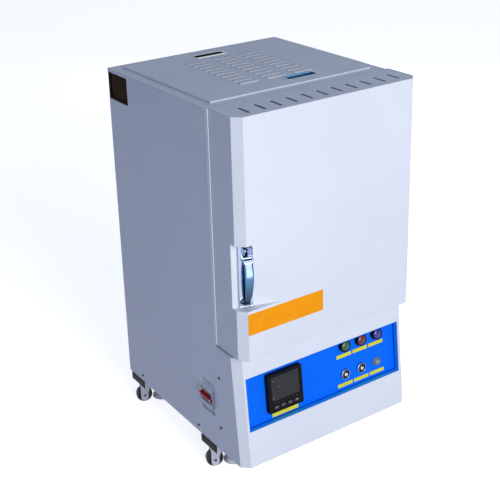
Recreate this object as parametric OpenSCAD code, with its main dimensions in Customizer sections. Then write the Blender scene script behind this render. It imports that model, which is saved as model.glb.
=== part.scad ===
// Floor-standing muffle furnace on four levelling casters.
// The origin lies on the floor, under the middle of the whole furnace.
// X runs to the right, Y to the back and Z up. The door faces -Y.

/* [Carcass] */
// Width of the body and of the door
body_w = 490; // [470:10:560]
// Depth of the body behind the door
body_d = 436; // [430:2:520]
// Height of the body without its casters
body_h = 826; // [810:2:900]
// Thickness of the sheet steel
sheet = 2; // [1:0.5:3]

/* [Door] */
// Thickness of the door
door_t = 100; // [80:2:120]
// Gap between the door and the carcass, at the back and below
door_gap = 6; // [5:0.5:8]
// Height by which the door stands above the top of the body
door_over = 3; // [0:1:8]
// Chamfer of the upright front corners
chamfer = 18; // [10:1:24]
// Distance by which the door stands back from the left side of the body
door_side = 2.5; // [0:0.5:4]
// Number of air slots in the top of the door
slot_count = 11; // [5:1:11]
// Distance between two air slots
slot_pitch = 40; // [30:1:42]
// Length of an air slot
slot_len = 45; // [20:1:60]
// Width of an air slot
slot_w = 7; // [3:0.5:8]

/* [Handle pocket] */
// Distance from the side of the door to the handle plate
handle_x = 17; // [9:1:24]
// Gap between the handle plate and the pocket, above and below it
pocket_clear = 2.5; // [1:0.5:6]
// Height of the pocket above the bottom of the door
pocket_z = 119; // [60:1:200]
// Width of the pocket, measured on the front of the door
pocket_w = 107; // [90:1:140]
// Depth of the pocket at the side of the door
pocket_depth = 34.5; // [32:0.5:44]
// Width of the plate that carries the grip
handle_w = 24; // [18:1:26]
// Height of the plate that carries the grip
handle_h = 146; // [130:1:160]
// Thickness of the plate that carries the grip
handle_t = 4; // [3:0.5:6]
// Thickness of the bowed grip
grip_t = 6; // [4:0.5:7]
// Distance from the plate to the back of the grip
grip_reach = 13; // [10:0.5:18]

/* [Console] */
// Height of the console below the door
console_h = 272; // [260:2:300]
// Distance from the carcass to the console front, at its top
console_out_top = 78; // [60:1:80]
// Distance from the carcass to the console front, at its bottom
console_out_low = 104; // [96:1:105]
// Distance from the chamfer of the console to the control recess
recess_side = 5; // [4:1:10]
// Height of the control recess
recess_h = 131; // [125:1:150]
// Height of the recess above the underside of the body
recess_z = 88; // [70:1:100]
// Depth of the control recess
recess_depth = 15; // [10:1:24]
// Thickness of the sheet of the control recess
tray_t = 1.5; // [1:0.5:2]

/* [Controls] */
// Side of the square front of the controller
ctrl_size = 96; // [92:1:100]
// Position of the controller across the console
ctrl_x = -115; // [-140:1:-100]
// Height of the controller above the underside of the body
ctrl_z = 157; // [145:1:165]
// Thickness of the front of the controller
ctrl_bezel = 12; // [8:1:14]
// Length of the case behind the control recess
ctrl_case = 62; // [50:1:70]
// Width of a key on the controller
key_w = 13; // [10:0.5:15]
// Position of the left lamp across the console
lamp_x = 66; // [50:1:90]
// Distance between two lamps or buttons
lamp_pitch = 49; // [40:1:54]
// Height of the lamps above the underside of the body
lamp_z = 202.4; // [198:0.2:202.4]
// Height of the buttons above the underside of the body
button_z = 128; // [115:1:145]
// Diameter of the collar of a lamp or button
collar_d = 29; // [26:0.5:29]
// Travel of a push button
button_travel = 2.5; // [1:0.5:3]

/* [Breaker] */
// Width of one pole of the circuit breaker
pole_w = 18; // [17:0.5:18]
// Height of the circuit breaker
breaker_h = 81; // [78:1:90]
// Height of the middle of the breaker above the underside of the body
breaker_z = 123; // [110:1:140]
// Distance from the carcass to the front edge of the breaker, measured backwards
breaker_y = 15; // [10:1:60]
// Depth of the circuit breaker
breaker_depth = 68; // [60:1:72]
// Distance by which the toggle stands out of the side panel
toggle_out = 12; // [10:0.5:14]

/* [Lid] */
// Width of the rim beside the lid
lid_rim = 27; // [22:1:32]
// Width of the rim behind and before the lid
lid_rim_y = 25; // [22:1:32]
// Height of the lid above the rim
lid_t = 4; // [2:0.5:5]
// Number of louvre rows
louvre_rows = 10; // [4:1:10]
// Distance between two louvre rows
louvre_pitch = 24.2; // [20:0.1:24.5]
// Length of a louvre
louvre_len = 47; // [30:1:60]
// Distance between two louvre columns
louvre_col = 74; // [66:1:80]
// Length of a flush pull
pull_l = 88; // [70:1:92]
// Width of a flush pull
pull_w = 38; // [28:1:38]
// Depth of a flush pull
pull_depth = 14; // [10:1:18]

/* [Heating chamber] */
// Width of the chamber
chamber_w = 200; // [180:2:204]
// Height of the chamber
chamber_h = 200; // [180:2:220]
// Space behind the insulation, for the wiring
rear_space = 48; // [40:1:80]
// Wall of the ceramic muffle
muffle_t = 16; // [12:1:18]
// Fibre insulation above and below the muffle
ins_wall = 100; // [90:1:101]
// Gap between the insulation and the side panels
ins_clear = 27; // [10:1:40]
// Insulation behind the muffle
ins_back = 70; // [50:1:72]
// Number of runs of each heating element
element_runs = 6; // [4:2:6]
// Distance between two runs
element_pitch = 28; // [24:1:30]
// Diameter of the heating wire
element_d = 6; // [4:0.5:7]
// Diameter of the exhaust pipe
exhaust_d = 30; // [20:1:40]

/* [Casters] */
// Height of a caster, from the floor to the top of its plate
caster_h = 60; // [60:1:66]
// Height of the rails that carry the casters
channel_h = 20; // [16:1:30]
// Clear width inside a rail
channel_w = 63; // [60:1:70]
// Thickness of the rail walls
channel_t = 2.5; // [2:0.5:3]
// Distance from the front of the carcass to the middle of the front rail
channel_front = 45; // [40:1:60]
// Distance from the back of the carcass to the middle of the rear rail
channel_rear = 45; // [40:1:80]
// Distance from the side of the body to the swivel axis
caster_in = 36.5; // [34:0.5:50]
// Side of the square caster plate
plate_w = 56; // [50:1:58]
// Diameter of the wheel
wheel_d = 42; // [38:1:42]
// Width of the wheel
wheel_w = 18; // [14:1:20]
// Distance from the swivel axis to the wheel axle
wheel_off = 21; // [21:0.5:24]
// Distance from the swivel axis to the foot screw
foot_off = 26; // [26:0.5:28]
// Diameter of the levelling foot
foot_d = 48; // [40:1:48]
// Height of the raised foot above the floor
foot_z = 5.5; // [4:0.5:6]
// Direction in which the casters point at rest
caster_turn = -20; // [-60:1:60]

/* [Hidden] */
$fn = 48;
fit = 0.05;
seat = 0.3;
hw = body_w / 2;
z0 = caster_h + channel_h;
zt = z0 + body_h;
zc = z0 + console_h;
yc = (door_gap + door_t) / 2;
yf = yc - body_d / 2;
yb = yc + body_d / 2;
iw = hw - sheet;
// Door planes
dr = yf - door_gap;
df = dr - door_t;
dz0 = zc + door_gap;
dz1 = zt + door_over;
// Console plane
tilt = atan((console_out_low - console_out_top) / console_h);
lean = tan(tilt);
recess_x = hw - chamfer - recess_side;
// Handle pocket
pz0 = dz0 + pocket_z;
pocket_h = handle_h + 2 * pocket_clear;
pz1 = pz0 + pocket_h;
pocket_turn = -atan(pocket_depth / pocket_w);
hx = handle_x;
hz0 = pz0 + pocket_clear;
hd = hw - door_side;
// Heating chamber
cz0 = zc + muffle_t + ins_wall;
cz1 = cz0 + chamber_h;
cy0 = yf + sheet;
chamber_d = body_d - sheet - muffle_t - ins_back - rear_space;
cy1 = cy0 + chamber_d;
ins_x = iw - ins_clear;
ins_z1 = cz1 + muffle_t + ins_wall;
ins_y1 = cy1 + muffle_t + ins_back;
plug_gap = 4;
plug_w = chamber_w - 2 * plug_gap;
plug_h = chamber_h - 2 * plug_gap;
plug_in = 15;
groove_d = element_d + 1;
rod_x = chamber_w / 2 + element_d / 2 + 0.7;
rod_z0 = (cz0 + cz1) / 2 - (element_runs - 1) * element_pitch / 2;
rod_y0 = cy0 + 24 + element_pitch / 2;
rod_y1 = cy1 - 8 - element_pitch / 2;
tail_y = ins_y1 + 16;
tc_z = cz1 - 45;
tc_r = 4;
ex_y = cy0 + chamber_d / 2 + 44;
pipe_up = 60;
// Latch
latch_x = -hw + 23;
latch_z = hz0 + handle_h - 14;
latch_w = 12;
// Lid opening
lid_x = hw - lid_rim;
lid_y0 = yf + lid_rim_y;
lid_y1 = yb - lid_rim_y;
lid_z = zt + seat;
lid_lip = 8;
lip_t = 1.5;
// Hinges
hinge_out = 12;
hinge_r = 6;
hinge_x = hw + hinge_r;
hinge_y = yf - door_gap / 2;
hinge_len = 80;
hinge_leaf = 3;
hinge_zs = [dz0 + 70, dz1 - 70 - hinge_len];
pin_r = 3;
// Breaker
by0 = yf + breaker_y;
bw = 3 * pole_w;
bz = z0 + breaker_z;
bx0 = -hw - 6;
nose_h = 46;
bore_r = 2.5;
toggle_x = bx0 + 7;
// Casters
foot_travel = foot_z + 0.5;
foot_h = 15;
caster_y = [yf + channel_front, yb - channel_rear];
dial_r = 16;
dial_h = 9;
dial_z = foot_z + foot_h + 5.5;
stem_r = 4;
kp_r = 5;
axle_r = 3.5;
fork_top = caster_h - 3.3;

paint = "#e6ebf2";
fibre = "#efe9dc";
steel = "#b9bec4";
dark = "#2b2c30";

// Box between two corners
module box(a, b) {
    translate(a) cube([b[0] - a[0], b[1] - a[1], b[2] - a[2]]);
}

// Upright plate in the YZ plane, drawn as [y, z], from x to x + t
module plate_yz(x, t) {
    translate([x, 0, 0]) rotate([90, 0, 90]) linear_extrude(t) children();
}

// Rectangle with round corners
module round_rect(w, h, r) {
    square([w - 2 * r, h], center = true);
    square([w, h - 2 * r], center = true);
    for (sx = [-1, 1], sy = [-1, 1])
        translate([sx * (w / 2 - r), sy * (h / 2 - r)]) circle(r);
}

// Cylinder along Y, from y0 to y1
module rod_y(r, y0, y1) {
    translate([0, y0, 0]) rotate([-90, 0, 0]) cylinder(r = r, h = y1 - y0);
}

// Y of the console front at a height
function front_y(z) = yf - console_out_low + (z - z0) * lean;

// Frame whose XZ plane is the console front, with its Z up the slope
module on_console(x = 0, z = 0) {
    translate([x, yf - console_out_low, z0]) rotate([-tilt, 0, 0])
        translate([0, 0, z / cos(tilt)]) children();
}

// Frame on the slanted floor of the handle pocket, with -Y out of it
module on_pocket() {
    translate([-hw, df + pocket_depth, 0]) rotate([0, 0, pocket_turn]) children();
}

module side_outline() {
    edge = chamfer / cos(tilt);
    polygon([
        [yb, z0], [yb, zt - sheet], [yf, zt - sheet], [yf, zc],
        [front_y(zc) + edge, zc], [front_y(z0) + edge, z0]
    ]);
}

vent_d = 93;
vent_h = 66;
vent_t = 14;
vent_z = zt - 8 - vent_h;

module side_panel_left() {
    color(paint) difference() {
        plate_yz(-hw, sheet) side_outline();
        box([-hw - 1, by0 - 1, bz - breaker_h / 2 - 1], [-iw + 1, by0 + bw + 1, bz + breaker_h / 2 + 1]);
        box([-hw - 1, yb - vent_d, vent_z], [-iw + 1, yb + 1, vent_z + vent_h]);
    }
}

module side_panel_right() {
    color(paint) plate_yz(iw, sheet) side_outline();
}

module back_panel() {
    color(paint) difference() {
        box([-iw, yb - sheet, z0], [iw, yb, zt - sheet]);
        box([-iw - 1, yb - sheet - 1, vent_z], [-hw + 0.5 + vent_t + seat, yb + 1, vent_z + vent_h]);
        for (i = [0 : 7])
            box([-90, yb - sheet - 1, z0 + 60 + i * 18], [90, yb + 1, z0 + 65 + i * 18]);
        for (i = [0 : 5])
            box([-90, yb - sheet - 1, zt - 130 + i * 18], [90, yb + 1, zt - 125 + i * 18]);
    }
}

module base_pan() {
    e = front_y(z0 + sheet) + sheet / cos(tilt) + seat;
    color(paint) translate([0, 0, z0]) linear_extrude(sheet)
        polygon([
            [-iw, yb - sheet], [iw, yb - sheet], [iw, e + chamfer],
            [iw - chamfer, e], [-iw + chamfer, e], [-iw, e + chamfer]
        ]);
}

module top_rim() {
    color(paint) difference() {
        box([-hw, yf, zt - sheet], [hw, yb, zt]);
        box([-lid_x + lid_lip, lid_y0 + lid_lip, zt - sheet - 1], [lid_x - lid_lip, lid_y1 - lid_lip, zt + 1]);
    }
}

module front_frame() {
    color(steel) difference() {
        box([-iw, yf, zc], [iw, yf + sheet, zt - sheet]);
        box([-chamber_w / 2, yf - 1, cz0], [chamber_w / 2, yf + sheet + 1, cz1]);
        box([latch_x - latch_w / 2 - 2, yf - 1, latch_z - latch_w / 2 - 2],
            [latch_x + latch_w / 2 + 2, yf + sheet + 1, latch_z + latch_w / 2 + 2]);
    }
}

// Outline of the console in plan, set in by d
module console_outline(d) {
    k = d * tan(22.5);
    polygon([
        [-hw + d, 200], [-hw + d, chamfer + k], [-hw + chamfer + k, d],
        [hw - chamfer - k, d], [hw - d, chamfer + k], [hw - d, 200]
    ]);
}

module console_front() {
    color(paint) difference() {
        intersection() {
            on_console() translate([0, 0, -40]) linear_extrude(console_h + 80) console_outline(0);
            box([-hw, df - 20, z0], [hw, yf, zc]);
        }
        intersection() {
            on_console() translate([0, 0, -40]) linear_extrude(console_h + 80) console_outline(sheet);
            box([-hw, df - 20, z0 - 1], [hw, yf + 50, zc - sheet]);
        }
        for (s = [0, 1]) mirror([s, 0, 0]) plate_yz(iw, sheet + 1)
            polygon([
                [yf + 1, z0 - 1], [yf + 1, zc + 1], [front_y(zc + 1) + chamfer / cos(tilt), zc + 1],
                [front_y(z0 - 1) + chamfer / cos(tilt), z0 - 1]
            ]);
        on_console(0, recess_z)
            box([-recess_x, -1, 0], [recess_x, sheet + 1, recess_h / cos(tilt)]);
    }
}

// Hole for a lamp or a button in the floor of the control recess
module control_hole(i, z, r) {
    on_console(lamp_x + i * lamp_pitch, z) rod_y(r, recess_depth - 1, recess_depth + tray_t + 1);
}

module control_tray() {
    w = recess_x;
    flange = hw - chamfer - sheet * tan(22.5) - seat;
    h = recess_h / cos(tilt);
    case_cut = ctrl_size / 2 - 2;
    color("#0f6fe0") difference() {
        on_console(0, recess_z) difference() {
            union() {
                box([-w + seat, 0, seat], [w - seat, recess_depth + tray_t, h - seat]);
                box([-flange, sheet, -8], [flange, sheet + tray_t, h + 8]);
            }
            box([-w + seat + tray_t, -1, seat + tray_t], [w - seat - tray_t, recess_depth, h - seat - tray_t]);
        }
        on_console(ctrl_x, ctrl_z)
            box([-case_cut - seat, recess_depth - 1, -case_cut - seat],
                [case_cut + seat, recess_depth + tray_t + 1, case_cut + seat]);
        for (i = [0 : 2]) {
            control_hole(i, lamp_z, 11 + seat);
            control_hole(i, button_z, 11 + seat);
        }
    }
}

module divider_shelf() {
    color(steel) box([-iw, yf, zc - sheet], [iw, yb - sheet, zc]);
}

module vent_grille() {
    x0 = -hw + 0.5;
    y1 = yb - 0.5;
    y0 = yb - vent_d + seat;
    z1 = vent_z + vent_h - seat;
    color("#2a1a08") {
        difference() {
            box([x0, y0, vent_z + seat], [x0 + vent_t, y1, z1]);
            box([x0 - 1, y0 + 2, vent_z + seat + 2], [x0 + vent_t - 3, y1 - 2, z1 - 2]);
        }
        for (i = [0 : 6])
            translate([x0 + 2, y0 + 8 + i * 11.8, vent_z + seat + 1.5]) rotate([0, 0, -35])
                cube([8.5, 1.5, vent_h - 2 * seat - 3]);
    }
}

module insulation() {
    m = chamber_w / 2 + muffle_t + seat;
    color(fibre) difference() {
        box([-ins_x, cy0, zc], [ins_x, ins_y1, ins_z1]);
        box([-m, cy0 - 1, cz0 - muffle_t], [m, cy1 + muffle_t + seat, cz1 + muffle_t + seat]);
        translate([0, 0, tc_z]) rod_y(tc_r + seat, cy1, ins_y1 + 1);
        for (s = [-1, 1], k = [0, element_runs - 1])
            translate([s * rod_x, 0, rod_z0 + k * element_pitch])
                rod_y(element_d / 2 + seat, cy1, ins_y1 + 1);
        translate([0, ex_y, cz1]) cylinder(r = exhaust_d / 2 + seat, h = ins_wall + muffle_t + 10);
    }
}

module muffle() {
    m = chamber_w / 2 + muffle_t;
    g = element_d / 2 + seat;
    top = rod_z0 + (element_runs - 1) * element_pitch;
    color("#f4efe4") difference() {
        box([-m, cy0, cz0 - muffle_t], [m, cy1 + muffle_t, cz1 + muffle_t]);
        box([-chamber_w / 2, cy0 - 1, cz0], [chamber_w / 2, cy1, cz1]);
        for (s = [0, 1]) mirror([s, 0, 0]) {
            for (k = [0 : element_runs - 1])
                box([chamber_w / 2 - 1, rod_y0 - 1, rod_z0 + k * element_pitch - g],
                    [chamber_w / 2 + groove_d, rod_y1 + 1, rod_z0 + k * element_pitch + g]);
            for (y = [rod_y0 - element_pitch / 2 - g, rod_y1])
                box([chamber_w / 2 - 1, y, rod_z0 - g],
                    [chamber_w / 2 + groove_d, y + element_pitch / 2 + g, top + g]);
            for (k = [0, element_runs - 1])
                translate([rod_x, 0, rod_z0 + k * element_pitch]) rod_y(g, rod_y1, cy1 + muffle_t + 1);
        }
        translate([0, 0, tc_z]) rod_y(tc_r + seat, cy1 - 1, cy1 + muffle_t + 1);
        translate([0, ex_y, cz1 - 1]) cylinder(r = exhaust_d / 2 + seat, h = muffle_t + 2);
    }
}

// One heating wire: runs along Y joined by half turns, with two tails to the back
module element() {
    r = element_d / 2;
    for (k = [0 : element_runs - 1]) {
        end = (k == 0 || k == element_runs - 1) ? tail_y : rod_y1;
        translate([rod_x, 0, rod_z0 + k * element_pitch]) rod_y(r, rod_y0, end);
    }
    for (k = [0 : element_runs - 2])
        translate([rod_x, (k % 2 == 0) ? rod_y0 : rod_y1, rod_z0 + (k + 0.5) * element_pitch])
            rotate([0, 90, 0]) rotate([0, 0, (k % 2 == 0) ? 180 : 0])
                rotate_extrude(angle = 180) translate([element_pitch / 2, 0]) circle(r);
}

module heating_elements() {
    color("#8a8f96") for (s = [0, 1]) mirror([s, 0, 0]) element();
}

module hearth_plate() {
    color("#6f6a63") box([-chamber_w / 2 + 8, cy0 + 24, cz0], [chamber_w / 2 - 8, cy1 - 6, cz0 + 10]);
}

module thermocouple() {
    color("#f0ece4") {
        translate([0, 0, tc_z]) rod_y(tc_r, cy1 - 40, ins_y1 + 1);
        translate([0, 0, tc_z]) rod_y(11, ins_y1, ins_y1 + 18);
    }
}

module exhaust_pipe() {
    color(steel) translate([0, ex_y, 0]) difference() {
        union() {
            translate([0, 0, cz1 + 1]) cylinder(d = exhaust_d, h = ins_z1 - cz1 + pipe_up);
            translate([0, 0, ins_z1]) cylinder(d = exhaust_d + 26, h = 3);
        }
        translate([0, 0, cz1]) cylinder(d = exhaust_d - 4, h = ins_z1 - cz1 + pipe_up + 10);
    }
}

// Rectangular tube across the body, which the caster plates are bolted to
module base_channel(y) {
    w = channel_w / 2;
    t = channel_t;
    h = caster_h + channel_h;
    color(paint) difference() {
        box([-hw, y - w - t, caster_h], [hw, y + w + t, h]);
        box([-hw - 1, y - w, caster_h + t], [hw + 1, y + w, h - t]);
    }
}

module base_channels() {
    for (y = caster_y) base_channel(y);
}

// Place a caster: front is 0 or 1, side is -1 or 1
module at_caster(k, side) {
    translate([side * (hw - caster_in), caster_y[k], 0]) children();
}

module caster_plates() {
    color(steel) for (k = [0, 1], side = [-1, 1]) at_caster(k, side) {
        translate([-plate_w / 2, -plate_w / 2, caster_h - 3]) cube([plate_w, plate_w, 3]);
        translate([0, 0, caster_h - 16]) cylinder(r = kp_r, h = 14);
        translate([0, 0, caster_h - 18.5]) cylinder(r = kp_r + 2.5, h = 2.6);
    }
}

// Swivelling housing of a caster, with its axle
module fork(k, side) {
    zh = caster_h - 15.6;
    cheek = wheel_w / 2 + 0.8;
    az = wheel_d / 2;
    color("#9aa3ad") at_caster(k, side) rotate([0, 0, caster_turn]) {
        difference() {
            union() {
                translate([0, 0, zh]) cylinder(r = 14, h = fork_top - zh);
                translate([-wheel_off - 10, -cheek - 3, wheel_d + 1]) cube([wheel_off + 10, 2 * cheek + 6, fork_top - wheel_d - 1]);
                translate([0, -14, zh]) cube([foot_off, 28, fork_top - zh]);
                translate([foot_off, 0, dial_z + dial_h + seat]) cylinder(r = 14, h = zh - dial_z - dial_h);
                translate([foot_off, 0, zh]) cylinder(r1 = 14, r2 = 19, h = fork_top - zh);
            }
            translate([0, 0, 0]) cylinder(r = kp_r + fit, h = caster_h);
            translate([0, 0, 0]) cylinder(r = kp_r + 3, h = zh + 0.1);
            translate([foot_off, 0, 0]) cylinder(r = stem_r + fit, h = caster_h - 5);
        }
        for (s = [0, 1]) mirror([0, s, 0]) translate([0, cheek + 3, 0]) rotate([90, 0, 0]) linear_extrude(3) {
            translate([-wheel_off, 15]) circle(10);
            polygon([
                [-wheel_off - 10, 15], [-wheel_off + 10, 15], [-wheel_off + 10, az + 8], [-wheel_off + 16, wheel_d + 1],
                [-wheel_off + 16, fork_top], [-wheel_off - 10, fork_top]
            ]);
        }
        translate([-wheel_off, 0, az]) rod_y(axle_r, -cheek - 1, cheek + 1);
        for (s = [0, 1]) mirror([0, s, 0]) translate([-wheel_off, 0, az]) rod_y(6, cheek + 3, cheek + 5);
    }
}

// Wheel with a rounded tread and dished faces
module wheel(k, side) {
    r = wheel_d / 2;
    h = wheel_w / 2;
    color(dark) at_caster(k, side) rotate([0, 0, caster_turn])
        translate([-wheel_off, 0, r]) rotate([90, 0, 0]) rotate_extrude($fn = 64)
            polygon([
                [axle_r + fit, -h], [8, -h], [9, -h + 2.5], [r - 6, -h + 2.5], [r - 5, -h],
                [r - 2, -h], [r - 0.6, -h + 1], [r, -h + 3], [r, h - 3], [r - 0.6, h - 1], [r - 2, h],
                [r - 5, h], [r - 6, h - 2.5], [9, h - 2.5], [8, h], [axle_r + fit, h]
            ]);
}

// Thumb dial that drives the foot screw
module dial(k, side) {
    color("#c8242b") at_caster(k, side) rotate([0, 0, caster_turn])
        translate([foot_off, 0, dial_z]) difference() {
            cylinder(r = dial_r, h = dial_h);
            translate([0, 0, -1]) cylinder(r = stem_r + fit, h = dial_h + 2);
            for (i = [0 : 11]) rotate([0, 0, i * 30])
                translate([dial_r + 1, 0, -1]) cylinder(r = 2.4, h = dial_h + 2, $fn = 24);
        }
}

// Levelling foot with its screw
module foot(k, side) {
    color(dark) at_caster(k, side) rotate([0, 0, caster_turn]) translate([foot_off, 0, 0]) {
        translate([0, 0, foot_z]) rotate_extrude() polygon([
            [0, 0], [foot_d / 2 - 2, 0], [foot_d / 2, 1.5], [foot_d / 2, 4], [foot_d / 2 - 1, 6],
            [foot_d / 2 - 4, 9], [foot_d / 2 - 9, 12], [foot_d / 2 - 15, foot_h - 0.5], [stem_r, foot_h], [0, foot_h]
        ]);
        translate([0, 0, foot_z + foot_h - 1]) cylinder(r = stem_r, h = caster_h - 9 - foot_z - foot_h + 1);
    }
}

module controller() {
    f = recess_depth - ctrl_bezel;
    c = ctrl_size / 2 - 2;
    color(dark) on_console(ctrl_x, ctrl_z) difference() {
        union() {
            translate([0, recess_depth, 0]) rotate([90, 0, 0]) linear_extrude(ctrl_bezel)
                round_rect(ctrl_size, ctrl_size, 4);
            box([-c, recess_depth - 1, -c], [c, recess_depth + ctrl_case, c]);
        }
        translate([0, f + 1.2, 10]) rotate([90, 0, 0]) linear_extrude(10)
            round_rect(ctrl_size - 18, ctrl_size - 36, 2);
        for (i = [0 : 3]) key_shape(i, seat, f - 1, f + 5);
    }
}

// Key of the controller, grown by g, from y0 to y1 in the controller frame
module key_shape(i, g, y0, y1) {
    translate([(i - 1.5) * (key_w + 6), y1, -ctrl_size / 2 + 13]) rotate([90, 0, 0])
        linear_extrude(y1 - y0) round_rect(key_w + 2 * g, 8 + 2 * g, 2);
}

module key(i) {
    f = recess_depth - ctrl_bezel;
    color("#3b3d42") on_console(ctrl_x, ctrl_z) key_shape(i, 0, f - 1.2, f + 4);
}

module lamp(i, c) {
    color(c) on_console(lamp_x + i * lamp_pitch, lamp_z) {
        rod_y(11, recess_depth - 1, recess_depth + 24);
        rod_y(collar_d / 2, recess_depth - 3, recess_depth);
        difference() {
            translate([0, recess_depth - 3, 0]) rotate([90, 0, 0]) rotate_extrude()
                polygon([
                    [0, 0], [12, 0], [12, 3], [11.4, 5.6], [9.6, 7.8], [7, 9.4], [3.6, 10.3], [0, 10.6]
                ]);
        }
    }
}

// Ring that stands round a push button
module button_collar(i) {
    on_console(lamp_x + i * lamp_pitch, button_z) difference() {
        union() {
            rod_y(11, recess_depth - 1, recess_depth + 20);
            rod_y(12.5, recess_depth - 4, recess_depth);
        }
        rod_y(9 + seat, recess_depth - 5, recess_depth + 10);
    }
}

module button_collars() {
    color(steel) for (i = [0, 1]) button_collar(i);
}

module button(i) {
    color("#d5d8dc") on_console(lamp_x + i * lamp_pitch, button_z)
        translate([0, recess_depth + 7, 0]) rotate([90, 0, 0]) rotate_extrude()
            polygon([
                [0, 0], [9, 0], [9, 9.1 + button_travel], [8.4, 9.9 + button_travel],
                [6, 10.3 + button_travel], [0, 10.3 + button_travel]
            ]);
}

module buzzer() {
    color("#8d9299") on_console(lamp_x + 2 * lamp_pitch, button_z) {
        rod_y(11, recess_depth - 1, recess_depth + 24);
        rod_y(collar_d / 2, recess_depth - 3, recess_depth);
        translate([0, recess_depth - 3, 0]) rotate([90, 0, 0]) rotate_extrude()
            polygon([[0, 0], [12, 0], [12, 5], [11, 7.4], [8.4, 9], [4.4, 10], [0, 10.3]]);
    }
}

module breaker_body() {
    h = breaker_h / 2;
    n = nose_h / 2;
    color("#e9ebee") difference() {
        translate([0, by0 + bw, 0]) rotate([90, 0, 0]) linear_extrude(bw) polygon([
            [bx0, bz - n], [bx0, bz + n], [bx0 + 8, bz + n], [bx0 + 8, bz + h],
            [bx0 + breaker_depth, bz + h], [bx0 + breaker_depth, bz - h], [bx0 + 8, bz - h], [bx0 + 8, bz - n]
        ]);
        for (i = [1, 2])
            box([bx0 - 1, by0 + i * pole_w - 0.4, bz - h - 1], [bx0 + 18, by0 + i * pole_w + 0.4, bz + h + 1]);
        for (i = [0 : 2], s = [-1, 1])
            translate([bx0 + 7, by0 + (i + 0.5) * pole_w, bz + s * 34.5]) rotate([0, 90, 0])
                cylinder(r = 3.4, h = 7);
        box([bx0 - 1, by0 + 2.5, bz - 14], [bx0 + 15, by0 + bw - 2.5, bz + 14]);
    }
    color("#e9ebee") translate([toggle_x, 0, bz]) rod_y(bore_r, by0 + 2, by0 + bw - 2);
}

module breaker_toggle() {
    color("#d2232a") difference() {
        union() {
            translate([toggle_x, 0, bz]) rod_y(5.5, by0 + 3, by0 + bw - 3);
            box([-hw - toggle_out, by0 + 3, bz - 5], [toggle_x, by0 + bw - 3, bz + 5]);
        }
        translate([toggle_x, 0, bz]) rod_y(bore_r + fit, by0, by0 + bw);
    }
}

module breaker_rail() {
    x = bx0 + breaker_depth;
    y0 = by0 - 12;
    y1 = by0 + bw + 12;
    color(steel) {
        difference() {
            box([x, y0, bz - 17.5], [x + 7.5, y1, bz + 17.5]);
            box([x + 1, y0 - 1, bz - 12.5], [x + 6.5 - 7.5, y1 + 1, bz + 12.5]);
            box([x + 1, y0 - 1, bz - 18], [x + 6.5, y1 + 1, bz - 13.5]);
            box([x + 1, y0 - 1, bz + 13.5], [x + 6.5, y1 + 1, bz + 18]);
            box([x - 1, y0 - 1, bz - 12.5], [x + 6.5, y1 + 1, bz + 12.5]);
        }
        box([x + 7.5, y0 + 6, z0 + sheet], [x + 9.5, y1 - 6, bz + 17.5]);
        box([x + 7.5, y0 + 6, z0 + sheet], [x + 30, y1 - 6, z0 + 2 * sheet]);
    }
}

// Half of a lift-off hinge: s = 1 on the body, s = -1 on the door
module hinge_half(z, s) {
    half = hinge_len / 2;
    kz = (s > 0) ? z : z + half + 0.2;
    y0 = hinge_y;
    translate([hinge_x, y0, kz]) cylinder(r = hinge_r, h = half - 0.2);
    box([hw, (s > 0) ? y0 : y0 - 9, kz], [hw + hinge_leaf, (s > 0) ? y0 + 9 : y0, kz + half - 0.2]);
    box([hw, (s > 0) ? y0 + 9 : y0 - 34, z], [hw + hinge_leaf, (s > 0) ? y0 + 34 : y0 - 9, z + hinge_len]);
}

module hinge_leaf_body() {
    color(steel) for (z = hinge_zs) {
        difference() {
            hinge_half(z, 1);
            box([hw - 1, hinge_y - 20, z - 1], [hw + 0.8, yf, z + hinge_len + 1]);
        }
        translate([hinge_x, hinge_y, z]) cylinder(r = pin_r, h = hinge_len - 1);
    }
}

module hinge_leaf_door() {
    color(steel) for (z = hinge_zs) difference() {
        hinge_half(z, -1);
        box([hw - 1, dr, z - 1], [hw + 0.8, hinge_y + 20, z + hinge_len + 1]);
        translate([hinge_x, hinge_y, z]) cylinder(r = pin_r + fit, h = hinge_len + 1);
    }
}

// Plan outline of the door, set in by d
module door_outline(d) {
    k = d * tan(22.5);
    polygon([
        [-hd + d, dr], [hw - d, dr], [hw - d, df + chamfer + k], [hw - chamfer - k, df + d],
        [-hd + chamfer + k, df + d], [-hd + d, df + chamfer + k]
    ]);
}

// Wedge of the handle pocket in plan, with its floor moved back by d
module pocket_outline(d) {
    m = pocket_depth / pocket_w;
    e = d / cos(pocket_turn);
    polygon([
        [-hw + pocket_w + e / m, df], [-hw - 5, df + pocket_depth + e + 5 * m],
        [-hw - 5, df - 5], [-hw + pocket_w + e / m, df - 5]
    ]);
}

module door_shell() {
    color(paint) difference() {
        union() {
            difference() {
                translate([0, 0, dz0]) linear_extrude(dz1 - dz0) door_outline(0);
                translate([0, 0, dz0 + sheet]) linear_extrude(dz1 - dz0 - 2 * sheet)
                    polygon([
                        [-hd + sheet, dr + 1], [hw - sheet, dr + 1],
                        [hw - sheet, df + chamfer + sheet * tan(22.5)],
                        [hw - chamfer - sheet * tan(22.5), df + sheet],
                        [-hd + chamfer + sheet * tan(22.5), df + sheet],
                        [-hd + sheet, df + chamfer + sheet * tan(22.5)]
                    ]);
            }
            intersection() {
                translate([0, 0, pz0 - sheet]) linear_extrude(pocket_h + 2 * sheet) pocket_outline(sheet);
                translate([0, 0, dz0]) linear_extrude(dz1 - dz0) door_outline(0);
            }
        }
        translate([0, 0, pz0]) linear_extrude(pocket_h) pocket_outline(0);
        for (i = [0 : slot_count - 1])
            translate([(i - (slot_count - 1) / 2) * slot_pitch + 5, df + 19 + slot_len / 2, dz1 - sheet - 1])
                linear_extrude(sheet + 2) square([slot_w, slot_len], center = true);
    }
}

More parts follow.
